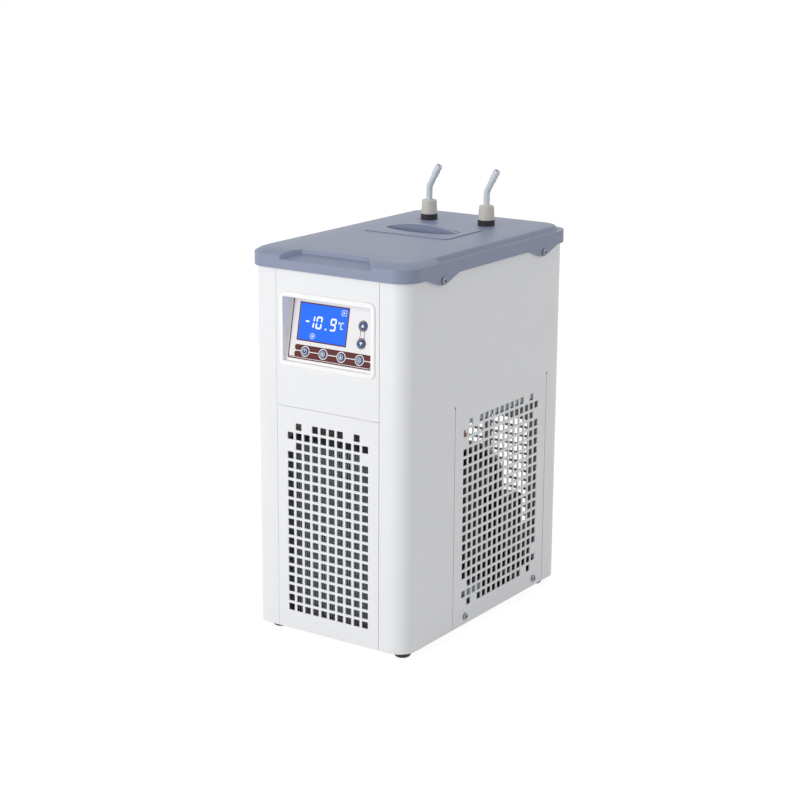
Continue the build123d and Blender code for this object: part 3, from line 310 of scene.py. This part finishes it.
def backlit(name, colour, strength):
    """Backlit liquid crystal: the colour glows through a glossy front polariser."""
    base = [c * 0.55 for c in colour]
    made, tree, shader, place = new_material(name, base, 0.3, Specular_IOR_Level=0.1)
    shader.inputs["Emission Color"].default_value = (*colour, 1)
    shader.inputs["Emission Strength"].default_value = strength
    ripple = add_node(tree, "ShaderNodeTexNoise", {"Vector": place}, Scale=1 / (8 * MM))
    relief(tree, shader, ripple.outputs["Fac"], 0.05, 0.02 * MM)
    return made


FINISH = {}


def mix_finishes():
    """Makes every material once, under the name of what it is."""
    tone = bpy.context.scene.chiller_colours
    FINISH.update(
        powder=powder_coat("powder_coated_steel", tone.cabinet),
        abs=moulded_plastic("blue_grey_abs", tone.cover, 0.42),
        collar=moulded_plastic("ivory_polypropylene", tone.collar, 0.5),
        tube=drawn_polyethylene("natural_polyethylene", tone.tube),
        rubber=moulded_rubber("black_rubber", tone.rubber),
        bezel=moulded_plastic("white_abs", tone.bezel, 0.35),
        film=moulded_plastic("printed_polyester_film", tone.film, 0.45, 0.8),
        maroon=printed_ink("maroon_ink", tone.maroon),
        white_ink=printed_ink("white_ink", srgb(0xF4F4F4)),
        display=backlit("blue_backlight", tone.display, 0.5),
        segment=backlit("lit_segments", srgb(0xF3F8FF), 0.6),
        key=moulded_plastic("blue_moulded_keys", tone.key, 0.5, 0.8),
        zinc=rolled_metal("zinc_plated_steel", srgb(0x8A8E93), 0.3, 2.0),
        galvanised=galvanised_sheet("galvanised_steel", srgb(0x9DA2A6)),
        stainless=rolled_metal("stainless_steel", srgb(0xB9BABB), 0.3, 1.5),
        copper=drawn_copper("drawn_copper", srgb(0xC47A56)),
        fins=fin_stock("aluminium_fin_stock", srgb(0x9DA2A6)),
        enamel=moulded_plastic("black_enamel", srgb(0x17181A), 0.3, 2.5),
        black=moulded_plastic("black_polyamide", srgb(0x1C1D1F), 0.5),
        motor=powder_coat("grey_motor_paint", srgb(0x7C858E)),
        supply=rolled_metal("anodised_aluminium", srgb(0x9FA9B8), 0.4, 1.5, "X"),
        board=moulded_plastic("solder_mask", srgb(0x1E5A34), 0.35, 0.8),
        foam=rigid_foam("insulation_foam", srgb(0xD8D2BC)),
        hose=drawn_polyethylene("silicone_hose", srgb(0xD9DBD9)),
    )


# Working on meshes


def only(piece):
    """Selects one object alone and makes it the active one."""
    bpy.ops.object.select_all(action="DESELECT")
    piece.hide_set(False)
    piece.select_set(True)
    bpy.context.view_layer.objects.active = piece


def edit(piece):
    """Goes into edit mode with all of the piece selected."""
    only(piece)
    bpy.ops.object.mode_set(mode="EDIT")
    bpy.ops.mesh.select_all(action="SELECT")


def leave_edit():
    """Goes back to object mode."""
    bpy.ops.object.mode_set(mode="OBJECT")


def settle(piece):
    """Puts the piece's place, turn and scale into its mesh."""
    only(piece)
    bpy.ops.object.transform_apply(location=True, rotation=True, scale=True)


def soften(piece, angle=35):
    """Shades the piece smooth, apart from edges sharper than an angle."""
    only(piece)
    bpy.ops.object.shade_smooth_by_angle(angle=math.radians(angle))


def round_edges(piece, radius, rounds=2, angle=30):
    """Rounds the piece's sharp edges with a bevel."""
    only(piece)
    bevel = piece.modifiers.new("edges", "BEVEL")
    bevel.width = radius
    bevel.segments = rounds
    bevel.limit_method = "ANGLE"
    bevel.angle_limit = math.radians(angle)
    bevel.harden_normals = False
    bpy.ops.object.modifier_apply(modifier=bevel.name)


def flatten_faces(piece):
    """Lets the wide faces keep their own normals, so that only the rounded edges shade round."""
    only(piece)
    even = piece.modifiers.new("faces", "WEIGHTED_NORMAL")
    even.keep_sharp = True
    bpy.ops.object.modifier_apply(modifier=even.name)


def dress(piece, finish, body):
    """Gives a finished piece its material and lets it ride on its body."""
    piece.data.materials.clear()
    piece.data.materials.append(FINISH[finish])
    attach(piece, body)
    return piece


def finished_copy(node, finish, edge=0.0, rounds=2, flat=True, angle=35):
    """Merges a copy of a node, rounds its edges, shades it smooth and lets it stand for the node."""
    source = frame["nodes"][node]
    body = source["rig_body"]
    only(source)
    bpy.ops.object.duplicate()
    piece = bpy.context.active_object
    piece.name = node + "_finish"
    for key in [key for key in piece.keys() if key.startswith("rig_")]:
        del piece[key]
    piece.parent = None
    edit(piece)
    bpy.ops.mesh.remove_doubles(threshold=MERGE)
    bpy.ops.mesh.customdata_custom_splitnormals_clear()
    if flat:
        bpy.ops.mesh.dissolve_limited(angle_limit=math.radians(0.3))
    leave_edit()
    if edge:
        round_edges(piece, edge, rounds)
    soften(piece, angle)
    if edge:
        flatten_faces(piece)
    dress(piece, finish, body)
    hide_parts(node)
    return piece


def block(place, size):
    """A box of a size, centred on a place."""
    bpy.ops.mesh.primitive_cube_add(size=1, location=place)
    made = bpy.context.active_object
    made.scale = size
    settle(made)
    return made


def round_rim(piece, wanted, width, rounds, profile):
    """Rounds the edges whose ends all pass a test of their place."""
    edit(piece)
    bpy.ops.mesh.select_all(action="DESELECT")
    work = bmesh.from_edit_mesh(piece.data)
    for side in work.edges:
        side.select = all(wanted(vertex.co) for vertex in side.verts)
    work.select_flush(True)
    bmesh.update_edit_mesh(piece.data)
    bpy.ops.mesh.bevel(offset=width, segments=rounds, profile=profile)
    leave_edit()


def islands(node):
    """The lowest and highest corners of each separate solid of a node."""
    work = bmesh.new()
    work.from_mesh(frame["nodes"][node].data)
    bmesh.ops.remove_doubles(work, verts=work.verts, dist=MERGE)
    left = set(work.verts)
    found = []
    while left:
        edge = [left.pop()]
        group = []
        while edge:
            vertex = edge.pop()
            group.append(vertex.co.copy())
            for neighbour in [link.other_vert(vertex) for link in vertex.link_edges]:
                if neighbour in left:
                    left.discard(neighbour)
                    edge.append(neighbour)
        low = Vector([min(co[axis] for co in group) for axis in range(3)])
        high = Vector([max(co[axis] for co in group) for axis in range(3)])
        found.append((low, high))
    work.free()
    return sorted(found, key=lambda pair: tuple(round(value, 5) for value in pair[0]))


def joined(pieces, name):
    """Joins pieces into one object."""
    only(pieces[0])
    for piece in pieces:
        piece.select_set(True)
    if len(pieces) > 1:
        bpy.ops.object.join()
    made = bpy.context.active_object
    made.name = name
    return made


# The leaning face of the control panel, in its own coordinates: x across, y up the face, z outwards
FACE_WIDTH = 115.0 * MM
FACE_RISE = 70.6 * MM
FACE_RUN = 14.0 * MM
FACE_LENGTH = math.hypot(FACE_RISE, FACE_RUN)
TILT = math.atan2(FACE_RUN, FACE_RISE)
FILM = 0.5 * MM
FILM_MARGIN = 2.0 * MM
INK = 0.05 * MM
KEY_TOP = 1.7 * MM
FACE_UP = Vector((0, math.sin(TILT), math.cos(TILT)))
FACE_OUT = Vector((0, -math.cos(TILT), math.sin(TILT)))
FILM_CORNER = Vector((0, OVERLAY_LOW.y, OVERLAY_LOW.z + FACE_OUT.z * FILM))
FACE_ORIGIN = FILM_CORNER - FACE_OUT * FILM - FACE_UP * FILM_MARGIN
KEY_FIRST = -32.4
KEY_STEP = 23.7
KEY_ROW = 11.8 * MM
ARROW_COLUMN = 38.8 * MM
KEY_SPOTS = {f"key_{i + 1}": ((KEY_FIRST + KEY_STEP * i) * MM, KEY_ROW) for i in range(4)}
KEY_SPOTS["down_key"] = (ARROW_COLUMN, 29.4 * MM)
KEY_SPOTS["up_key"] = (ARROW_COLUMN, 48.1 * MM)
KEY_RADIUS = 4.6 * MM
WINDOW = (-13.0 * MM, 43.8 * MM, 63.0 * MM, 39.5 * MM)


def face_matrix(height):
    """Places a flat drawing on the leaning face, at a height above the housing."""
    origin = FACE_ORIGIN + FACE_OUT * height
    return Matrix.Translation(origin) @ Matrix(((1, 0, 0), FACE_UP, FACE_OUT)).transposed().to_4x4()


def to_face(piece, height):
    """Moves a drawing made flat on the floor on to the leaning face."""
    settle(piece)
    piece.data.transform(face_matrix(height))
    piece.data.update()
    return piece


def thicken(piece, amount=INK):
    """Gives a flat drawing the thickness of ink."""
    edit(piece)
    bpy.ops.mesh.extrude_region_move(TRANSFORM_OT_translate={"value": (0, 0, amount)})
    bpy.ops.mesh.select_all(action="SELECT")
    bpy.ops.mesh.normals_make_consistent(inside=False)
    leave_edit()
    return piece


def bar(x, y, width, height, corner=0.0, rounds=4, turn=0.0):
    """A flat bar, with its corners rounded or cut off."""
    bpy.ops.mesh.primitive_plane_add(size=1, location=(0, 0, 0))
    piece = bpy.context.active_object
    piece.scale = (width, height, 1)
    settle(piece)
    if corner:
        edit(piece)
        bpy.ops.mesh.bevel(offset=corner, segments=rounds, affect="VERTICES")
        leave_edit()
    piece.data.transform(Matrix.Translation((x, y, 0)) @ Matrix.Rotation(turn, 4, "Z"))
    return piece


def hoop(x, y, radius, line, sides=48):
    """A flat ring of a line's width."""
    bpy.ops.mesh.primitive_circle_add(vertices=sides, radius=radius, fill_type="NGON", location=(x, y, 0))
    piece = bpy.context.active_object
    settle(piece)
    hollow(piece, line)
    return piece


def hollow(piece, line):
    """Keeps only a line along the drawing's outline."""
    edit(piece)
    bpy.ops.mesh.select_mode(type="FACE")
    bpy.ops.mesh.inset(thickness=line)
    bpy.ops.mesh.delete(type="FACE")
    leave_edit()


def spot(x, y, radius, sides=32):
    """A flat filled circle."""
    bpy.ops.mesh.primitive_circle_add(vertices=sides, radius=radius, fill_type="NGON", location=(x, y, 0))
    piece = bpy.context.active_object
    settle(piece)
    return piece


def arrow(x, y, radius, turn):
    """A flat triangle."""
    bpy.ops.mesh.primitive_circle_add(vertices=3, radius=radius, fill_type="NGON", location=(0, 0, 0))
    piece = bpy.context.active_object
    settle(piece)
    piece.data.transform(Matrix.Translation((x, y, 0)) @ Matrix.Rotation(turn, 4, "Z"))
    return piece


class CHILLER_OT_cabinet(bpy.types.Operator):
    """Finish the folded sheet panels of the cabinet"""

    bl_idname = "chiller.cabinet"
    bl_label = "Cabinet panels"

    def execute(self, context):
        sides = ("right_side_panel", "left_side_panel")
        for node in (*sides, "front_grille_panel", "front_control_panel", "rear_panel"):
            finished_copy(node, "powder", flat=False, angle=30)
        for node in ("base_plate", "reservoir_shelf", "fan_shroud", "fan_bracket"):
            finished_copy(node, "galvanised", angle=30)
        return {"FINISHED"}


class CHILLER_OT_cover(bpy.types.Operator):
    """Round and finish the moulded top cover and its filler cap"""

    bl_idname = "chiller.cover"
    bl_label = "Top cover"

    def execute(self, context):
        size = context.scene.chiller_sizes
        finished_copy("top_cover", "abs", size.cover_edge, 3)
        finished_copy("filler_cap", "abs", 0.4 * size.cover_edge, 2)
        return {"FINISHED"}


class CHILLER_OT_nipples(bpy.types.Operator):
    """Finish the gaskets, collars, tubes and nuts of the hose nipples"""

    bl_idname = "chiller.nipples"
    bl_label = "Hose nipples"

    def execute(self, context):
        for side in ("return", "supply"):
            finished_copy(f"{side}_gasket", "rubber", 0.4 * MM)
            finished_copy(f"{side}_collar", "collar", 0.3 * MM)
            finished_copy(f"{side}_nipple", "tube", angle=50)
            finished_copy(f"{side}_nut", "zinc", 0.3 * MM)
        return {"FINISHED"}


class CHILLER_OT_feet(bpy.types.Operator):
    """Turn the rubber feet with their rounded lower edge"""

    bl_idname = "chiller.feet"
    bl_label = "Rubber feet"

    def execute(self, context):
        made = []
        for low, high in islands("feet"):
            centre = (low + high) / 2
            wide = (high.x - low.x) / 2
            bpy.ops.mesh.primitive_cone_add(
                vertices=48, radius1=0.74 * wide, radius2=wide, depth=high.z - low.z, location=centre
            )
            foot = bpy.context.active_object
            settle(foot)
            round_rim(foot, lambda co: co.z < low.z + MERGE, 3.2 * MM, 6, 0.55)
            made.append(foot)
        feet = joined(made, "rubber_feet")
        soften(feet, 40)
        dress(feet, "rubber", "cabinet")
        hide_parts("feet")
        return {"FINISHED"}


def screw_head(low, high, outward):
    """A domed pan head with a cross recess, where a solid of a screw node is."""
    size = bpy.context.scene.chiller_sizes
    wide = max(side for axis, side in enumerate(high - low) if not outward[axis]) / 2
    depth = 2.4 * MM
    tip = (low + high) / 2
    for axis in range(3):
        if outward[axis]:
            tip[axis] = (high if outward[axis] > 0 else low)[axis]
    bpy.ops.mesh.primitive_cylinder_add(vertices=32, radius=wide, depth=depth, location=(0, 0, -depth / 2))
    head = bpy.context.active_object
    settle(head)
    round_rim(head, lambda co: co.z > -MERGE, 0.55 * depth, 5, 0.5)
    slot_width = 0.28 * size.recess
    for length, width in ((size.recess, slot_width), (slot_width, size.recess)):
        cutter = block((0, 0, 0), (length, width, 1.2 * depth))
        only(head)
        cut = head.modifiers.new("recess", "BOOLEAN")
        cut.object = cutter
        cut.operation = "DIFFERENCE"
        bpy.ops.object.modifier_apply(modifier=cut.name)
        bpy.data.objects.remove(cutter)
    turn = Vector((0, 0, 1)).rotation_difference(Vector(outward)).to_matrix().to_4x4()
    head.data.transform(Matrix.Translation(tip) @ turn @ Matrix.Rotation(math.radians(20), 4, "Z"))
    return head


class CHILLER_OT_screws(bpy.types.Operator):
    """Set a cross-recessed pan head over every screw"""

    bl_idname = "chiller.screws"
    bl_label = "Screws"

    def execute(self, context):
        for node in ("cover_screws", "side_screws", "rear_screws"):
            heads = []
            for low, high in islands(node):
                if node == "rear_screws":
                    outward = (0, 1, 0)
                else:
                    outward = (math.copysign(1, (low + high).x), 0, 0)
                heads.append(screw_head(low, high, outward))
            group = joined(heads, node + "_heads")
            soften(group, 30)
            dress(group, "zinc", "cabinet")
            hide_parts(node)
        return {"FINISHED"}


class CHILLER_OT_panel(bpy.types.Operator):
    """Finish the panel housing and print the film round the keys and the display"""

    bl_idname = "chiller.panel"
    bl_label = "Control panel"

    def execute(self, context):
        size = context.scene.chiller_sizes
        line = size.print_line
        finished_copy("control_housing", "bezel", size.bezel_edge, 2)
        finished_copy("keypad_overlay", "film", angle=30)
        finished_copy("display_board", "board")
        finished_copy("lcd_display", "display", 0.2 * MM)

        margin = FILM_MARGIN + 0.8 * MM
        border = bar(0, FACE_LENGTH / 2, FACE_WIDTH - 2 * margin, FACE_LENGTH - 2 * margin, 1.5 * MM)
        hollow(border, line)
        x, y, wide, high = WINDOW
        edge = bar(x, y, wide + 2.4 * MM, high + 2.4 * MM, 0.6 * MM)
        hollow(edge, line)
        lower = bar(0, 5.0 * MM, FACE_WIDTH - 2 * margin, 0.6 * MM)
        band_left, band_right = -46.5 * MM, FACE_WIDTH / 2 - margin - 1.2 * MM
        band_middle, band_wide = (band_left + band_right) / 2, band_right - band_left
        strip_high = 6.2 * MM
        strips = []
        for middle in (8.2 * MM, 15.4 * MM):
            strips.append(bar(band_middle, middle, band_wide, strip_high, 2.4 * MM, 5))
        waist = []
        (arrow_x, arrow_low), (_, arrow_high) = KEY_SPOTS["down_key"], KEY_SPOTS["up_key"]
        for side in (-1, 1):
            for half in (-1, 1):
                middle = (arrow_low + arrow_high) / 2 + half * 2.6 * MM
                edge_x, lean = arrow_x + side * 2.75 * MM, side * half * -0.16
                waist.append(bar(edge_x, middle, 0.6 * MM, 5.6 * MM, turn=lean))
        for _, spot_y in (KEY_SPOTS["down_key"], KEY_SPOTS["up_key"]):
            waist.append(hoop(arrow_x, spot_y, KEY_RADIUS + 1.4 * MM, 0.8 * MM))
        ink = joined([border, edge, lower, *strips, *waist], "maroon_print")
        to_face(thicken(ink), FILM)
        dress(ink, "maroon", "cabinet")

        centre = bar(band_middle, KEY_ROW, band_wide, 0.9 * MM)
        rings = [hoop(*KEY_SPOTS[f"key_{i}"], KEY_RADIUS + 1.25 * MM, 1.0 * MM) for i in range(1, 5)]
        white = joined([centre, *rings], "white_print")
        to_face(thicken(white, 2 * INK), FILM)
        dress(white, "white_ink", "cabinet")
        return {"FINISHED"}


SEGMENTS = {"0": "abcdef", "1": "bc", "9": "abcdfg", "-": "g"}


def digit(symbol, x, y, width, height, stroke):
    """The lit bars of one digit, centred on a point."""
    places = {
        "a": (0, height / 2 - stroke / 2, False),
        "g": (0, 0, False),
        "d": (0, stroke / 2 - height / 2, False),
        "f": (stroke / 2 - width / 2, height / 4, True),
        "b": (width / 2 - stroke / 2, height / 4, True),
        "e": (stroke / 2 - width / 2, -height / 4, True),
        "c": (width / 2 - stroke / 2, -height / 4, True),
    }
    bars = []
    for name in SEGMENTS[symbol]:
        across, up, upright = places[name]
        length = (height / 2 if upright else width) - 0.9 * stroke
        size = (stroke, length) if upright else (length, stroke)
        bars.append(bar(x + across, y + up, *size, 0.3 * stroke, 1))
    return bars


class CHILLER_OT_readout(bpy.types.Operator):
    """Light the digits and the small signs of the display"""

    bl_idname = "chiller.readout"
    bl_label = "Display readout"

    def execute(self, context):
        size = context.scene.chiller_sizes
        wide, high, stroke = size.digit_width, size.digit_height, size.stroke
        middle = 44.3 * MM
        lit = digit("-", -34.0 * MM, middle, 0.85 * wide, high, stroke)
        lit += digit("1", -28.6 * MM, middle, wide, high, stroke)
        lit += digit("0", -18.7 * MM, middle, wide, high, stroke)
        lit += digit("9", -0.2 * MM, middle, wide, high, stroke)
        lit.append(bar(-8.8 * MM, middle - high / 2 + stroke / 2, 1.1 * stroke, 1.1 * stroke, 0.3 * stroke))
        lit.append(hoop(7.4 * MM, 47.2 * MM, 1.3 * MM, 0.6 * MM))
        letter_c = ((11.6, 47.6, 3.2, 1.0), (11.6, 41.2, 3.2, 1.0), (9.8, 44.4, 1.0, 6.0))
        for across, up, length, tall in letter_c:
            lit.append(bar(across * MM, up * MM, length * MM, tall * MM, 0.3 * MM, 2))
        box = bar(11.2 * MM, 58.4 * MM, 6.4 * MM, 6.0 * MM, 1.0 * MM)
        hollow(box, 0.45 * MM)
        lit += [box, arrow(11.0 * MM, 58.4 * MM, 1.6 * MM, math.radians(-90))]
        lit.append(hoop(-24.0 * MM, 29.2 * MM, 3.2 * MM, 0.45 * MM))
        for turn in range(3):
            lit.append(bar(-24.0 * MM, 29.2 * MM, 3.4 * MM, 0.5 * MM, turn=math.radians(60 * turn)))
        readout = joined(lit, "display_readout")
        lean = Matrix.Identity(4)
        lean[0][1] = 0.1
        centre = Matrix.Translation((0, middle, 0))
        readout.data.transform(centre @ lean @ centre.inverted())
        to_face(thicken(readout), 0.0)
        dress(readout, "segment", "cabinet")
        return {"FINISHED"}


def key_sign(name, x, y):
    """The white sign on a key: power, fan, drop, lamp or arrow."""
    if name == "up_key":
        return [arrow(x, y - 0.3 * MM, 2.3 * MM, 0)]
    if name == "down_key":
        return [arrow(x, y + 0.3 * MM, 2.3 * MM, math.radians(180))]
    signs = [hoop(x, y, 3.0 * MM, 0.5 * MM)]
    if name == "key_1":
        signs.append(bar(x, y + 0.9 * MM, 0.6 * MM, 2.6 * MM))
    if name == "key_2":
        signs += [bar(x, y, 3.6 * MM, 0.6 * MM, turn=math.radians(turn)) for turn in (30, 90, 150)]
    if name == "key_3":
        signs += [spot(x, y - 0.5 * MM, 1.15 * MM), arrow(x, y + 0.6 * MM, 1.2 * MM, 0)]
    if name == "key_4":
        signs += [bar(x, y + step * 1.1 * MM, 2.6 * MM, 0.45 * MM) for step in (-1, 0, 1)]
    return signs


class CHILLER_OT_keys(bpy.types.Operator):
    """Round the six keys and print a sign on each"""

    bl_idname = "chiller.keys"
    bl_label = "Keys"

    def execute(self, context):
        for name, (x, y) in KEY_SPOTS.items():
            body = name + "_body"
            finished_copy(name, "key", 0.25 * MM)
            sign = joined(key_sign(name, x, y), name + "_sign")
            to_face(thicken(sign), KEY_TOP)
            dress(sign, "white_ink", body)
        return {"FINISHED"}


class CHILLER_OT_condenser(bpy.types.Operator):
    """Stack the condenser's fins on their tubes between two end plates"""

    bl_idname = "chiller.condenser"
    bl_label = "Condenser"

    def execute(self, context):
        pitch = context.scene.chiller_sizes.fin_pitch
        low, high = CONDENSER_LOW, CONDENSER_HIGH
        size = high - low
        count = int((size.x - 4 * MM) / pitch)
        middle = (low + high) / 2
        start = low.x + (size.x - (count - 1) * pitch) / 2
        fin = block((start, middle.y, middle.z), (FIN_THICKNESS, size.y - 2 * MM, size.z - 1 * MM))
        only(fin)
        row = fin.modifiers.new("row", "ARRAY")
        row.count = count
        row.use_relative_offset = False
        row.use_constant_offset = True
        row.constant_offset_displace = (pitch, 0, 0)
        bpy.ops.object.modifier_apply(modifier=row.name)
        fin.name = "condenser_fins"
        dress(fin, "fins", "cabinet")
        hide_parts("condenser")

        parts = []
        for side in (low.x + END_PLATE / 2, high.x - END_PLATE / 2):
            plate = block((side, middle.y, middle.z), (END_PLATE, size.y, size.z))
            round_edges(plate, 0.4 * MM)
            parts.append(plate)
        plates = joined(parts, "condenser_end_plates")
        dress(plates, "galvanised", "cabinet")

        tubes = []
        for step in range(TUBE_LEVELS):
            level = low.z + (step + 0.5) * size.z / TUBE_LEVELS
            for share in TUBE_DEPTHS:
                bpy.ops.mesh.primitive_cylinder_add(
                    vertices=16,
                    radius=TUBE_RADIUS,
                    depth=size.x - 3 * MM,
                    location=(0, low.y + share * size.y, level),
                    rotation=(0, math.pi / 2, 0),
                )
                tube = bpy.context.active_object
                settle(tube)
                tubes.append(tube)
        bank = joined(tubes, "condenser_tubes")
        soften(bank)
        dress(bank, "copper", "cabinet")
        return {"FINISHED"}


class CHILLER_OT_machinery(bpy.types.Operator):
    """Finish the compressor, the fan, the pipes, the pump and the reservoir"""

    bl_idname = "chiller.machinery"
    bl_label = "Machinery"

    def execute(self, context):
        finished_copy("compressor", "enamel", angle=40)
        finished_copy("compressor_mounts", "rubber", 0.6 * MM)
        finished_copy("terminal_box", "black", 1.0 * MM)
        finished_copy("fan_motor", "motor", 0.4 * MM)
        finished_copy("fan_shaft", "stainless", 0.3 * MM)
        finished_copy("fan_rotor", "black", 0.2 * MM)
        finished_copy("filter_drier", "copper", 0.3 * MM)
        for node in ("suction_line", "discharge_line", "liquid_line", "capillary_tube"):
            finished_copy(node, "copper", angle=50)
        finished_copy("pump_motor", "motor", 1.0 * MM)
        finished_copy("pump_head", "black", 0.5 * MM)
        finished_copy("reservoir", "stainless", 0.2 * MM)
        finished_copy("evaporator_plate", "stainless", 0.4 * MM)
        finished_copy("foam_jacket", "foam", 1.0 * MM)
        for node in ("supply_hose", "return_hose"):
            finished_copy(node, "hose", angle=50)
        finished_copy("power_supply", "supply", 0.4 * MM)
        return {"FINISHED"}


class CHILLER_OT_rear(bpy.types.Operator):
    """Finish the mains inlet, the switch and the drain on the rear"""

    bl_idname = "chiller.rear"
    bl_label = "Rear fittings"

    def execute(self, context):
        finished_copy("mains_inlet", "black", 0.3 * MM)
        finished_copy("mains_switch", "black", 0.3 * MM)
        finished_copy("switch_rocker", "black", 0.3 * MM)
        finished_copy("drain_fitting", "black", 0.3 * MM)
        finished_copy("drain_plug", "black", 0.5 * MM)
        return {"FINISHED"}


class CHILLER_OT_stage(bpy.types.Operator):
    """Lay a pale floor, hang the soft lights and set the camera"""

    bl_idname = "chiller.stage"
    bl_label = "Stage"

    def execute(self, context):
        scene = context.scene
        scene.view_settings.view_transform = "Standard"

        bpy.ops.mesh.primitive_plane_add(size=40, location=(0, 0, 0))
        floor = bpy.context.active_object
        floor.name = "studio_floor"
        paper = bpy.data.materials.new("white_paper_floor")
        paper.use_nodes = True
        tree = paper.node_tree
        tree.nodes.clear()
        matt = add_node(tree, "ShaderNodeBsdfDiffuse", Roughness=0.5)
        matt.inputs["Color"].default_value = FLOOR_PAPER
        glow = add_node(tree, "ShaderNodeEmission", Strength=FLOOR_GLOW)
        seen = self.seen_directly(tree)
        share = add_node(tree, "ShaderNodeMath", {0: seen}, operation="MULTIPLY")
        share.inputs[1].default_value = FLOOR_SHARE
        mixed = {0: share.outputs[0], 1: matt.outputs[0], 2: glow.outputs[0]}
        both = add_node(tree, "ShaderNodeMixShader", mixed)
        add_node(tree, "ShaderNodeOutputMaterial", {"Surface": both.outputs[0]})
        floor.data.materials.append(paper)

        world = bpy.data.worlds.new("studio_white")
        scene.world = world
        world.use_nodes = True
        tree = world.node_tree
        tree.nodes.clear()
        fill = add_node(tree, "ShaderNodeBackground", Strength=WORLD_FILL)
        fill.inputs["Color"].default_value = (1, 1, 1, 1)
        white = add_node(tree, "ShaderNodeBackground", Strength=1.0)
        white.inputs["Color"].default_value = (1, 1, 1, 1)
        seen = self.seen_directly(tree)
        both = add_node(tree, "ShaderNodeMixShader", {0: seen, 1: fill.outputs[0], 2: white.outputs[0]})
        add_node(tree, "ShaderNodeOutputWorld", {"Surface": both.outputs[0]})

        for name, (place, side, power) in LIGHTS.items():
            self.soft_light(name, place, side, power)

        bpy.ops.object.camera_add(location=CAMERA_PLACE)
        camera = bpy.context.active_object
        camera.name = "photo_camera"
        turn, drop, roll = CAMERA_TURN, CAMERA_DROP, CAMERA_ROLL
        ahead = Vector((-math.sin(turn) * math.cos(drop), math.cos(turn) * math.cos(drop), -math.sin(drop)))
        right = ahead.cross(Vector((0, 0, 1))).normalized()
        up = right.cross(ahead)
        right, up = (
            right * math.cos(roll) + up * math.sin(roll),
            up * math.cos(roll) - right * math.sin(roll),
        )
        camera.rotation_euler = Matrix((right, up, -ahead)).transposed().to_euler()
        camera.data.sensor_width = CAMERA_SENSOR
        camera.data.lens = CAMERA_LENS
        camera.data.clip_start = 0.05
        camera.data.clip_end = 100.0
        scene.camera = camera
        return {"FINISHED"}

    def seen_directly(self, tree):
        """One for camera, mirror and see-through rays, so that they find a white studio."""
        path = add_node(tree, "ShaderNodeLightPath")
        first = add_node(
            tree,
            "ShaderNodeMath",
            {0: path.outputs["Is Camera Ray"], 1: path.outputs["Is Glossy Ray"]},
            operation="MAXIMUM",
        )
        both = add_node(
            tree,
            "ShaderNodeMath",
            {0: first.outputs[0], 1: path.outputs["Is Transmission Ray"]},
            operation="MAXIMUM",
        )
        return both.outputs[0]

    def soft_light(self, name, place, size, power):
        """A square soft box that looks at the middle of the cabinet."""
        bpy.ops.object.light_add(type="AREA", location=place)
        lamp = bpy.context.active_object
        lamp.name = name
        lamp.data.shape = "SQUARE"
        lamp.data.size = size
        lamp.data.energy = power
        lamp.rotation_euler = (Vector(LIGHTS_AIM) - Vector(place)).to_track_quat("-Z", "Y").to_euler()


class CHILLER_PT_sidebar(bpy.types.Panel):
    """Lists the pieces and the sizes and colours that can be changed."""

    bl_idname = "CHILLER_PT_sidebar"
    bl_label = "Recirculating chiller"
    bl_space_type = "VIEW_3D"
    bl_region_type = "UI"
    bl_category = "Chiller"

    def draw(self, context):
        for group in (context.scene.chiller_sizes, context.scene.chiller_colours):
            box = self.layout.box()
            for name in group.__annotations__:
                box.prop(group, name)
        for operator in OPERATORS:
            self.layout.operator(operator.bl_idname)


GROUPS = (ChillerColours, ChillerSizes)
OPERATORS = (
    CHILLER_OT_cabinet,
    CHILLER_OT_cover,
    CHILLER_OT_nipples,
    CHILLER_OT_feet,
    CHILLER_OT_screws,
    CHILLER_OT_panel,
    CHILLER_OT_readout,
    CHILLER_OT_keys,
    CHILLER_OT_condenser,
    CHILLER_OT_machinery,
    CHILLER_OT_rear,
    CHILLER_OT_stage,
)


def register():
    """Registers the groups, the operators and the panel."""
    for group in (*GROUPS, *OPERATORS, CHILLER_PT_sidebar):
        bpy.utils.register_class(group)
    bpy.types.Scene.chiller_colours = bpy.props.PointerProperty(type=ChillerColours)
    bpy.types.Scene.chiller_sizes = bpy.props.PointerProperty(type=ChillerSizes)


def unregister():
    """Takes all of it out again."""
    del bpy.types.Scene.chiller_sizes
    del bpy.types.Scene.chiller_colours
    for group in reversed((*GROUPS, *OPERATORS, CHILLER_PT_sidebar)):
        bpy.utils.unregister_class(group)


def main():
    register()
    mix_finishes()
    for operator in OPERATORS:
        category, name = operator.bl_idname.split(".")
        if getattr(getattr(bpy.ops, category), name)() != {"FINISHED"}:
            raise RuntimeError(f"{operator.bl_label} didn't finish")


if __name__ == "__main__":
    main()
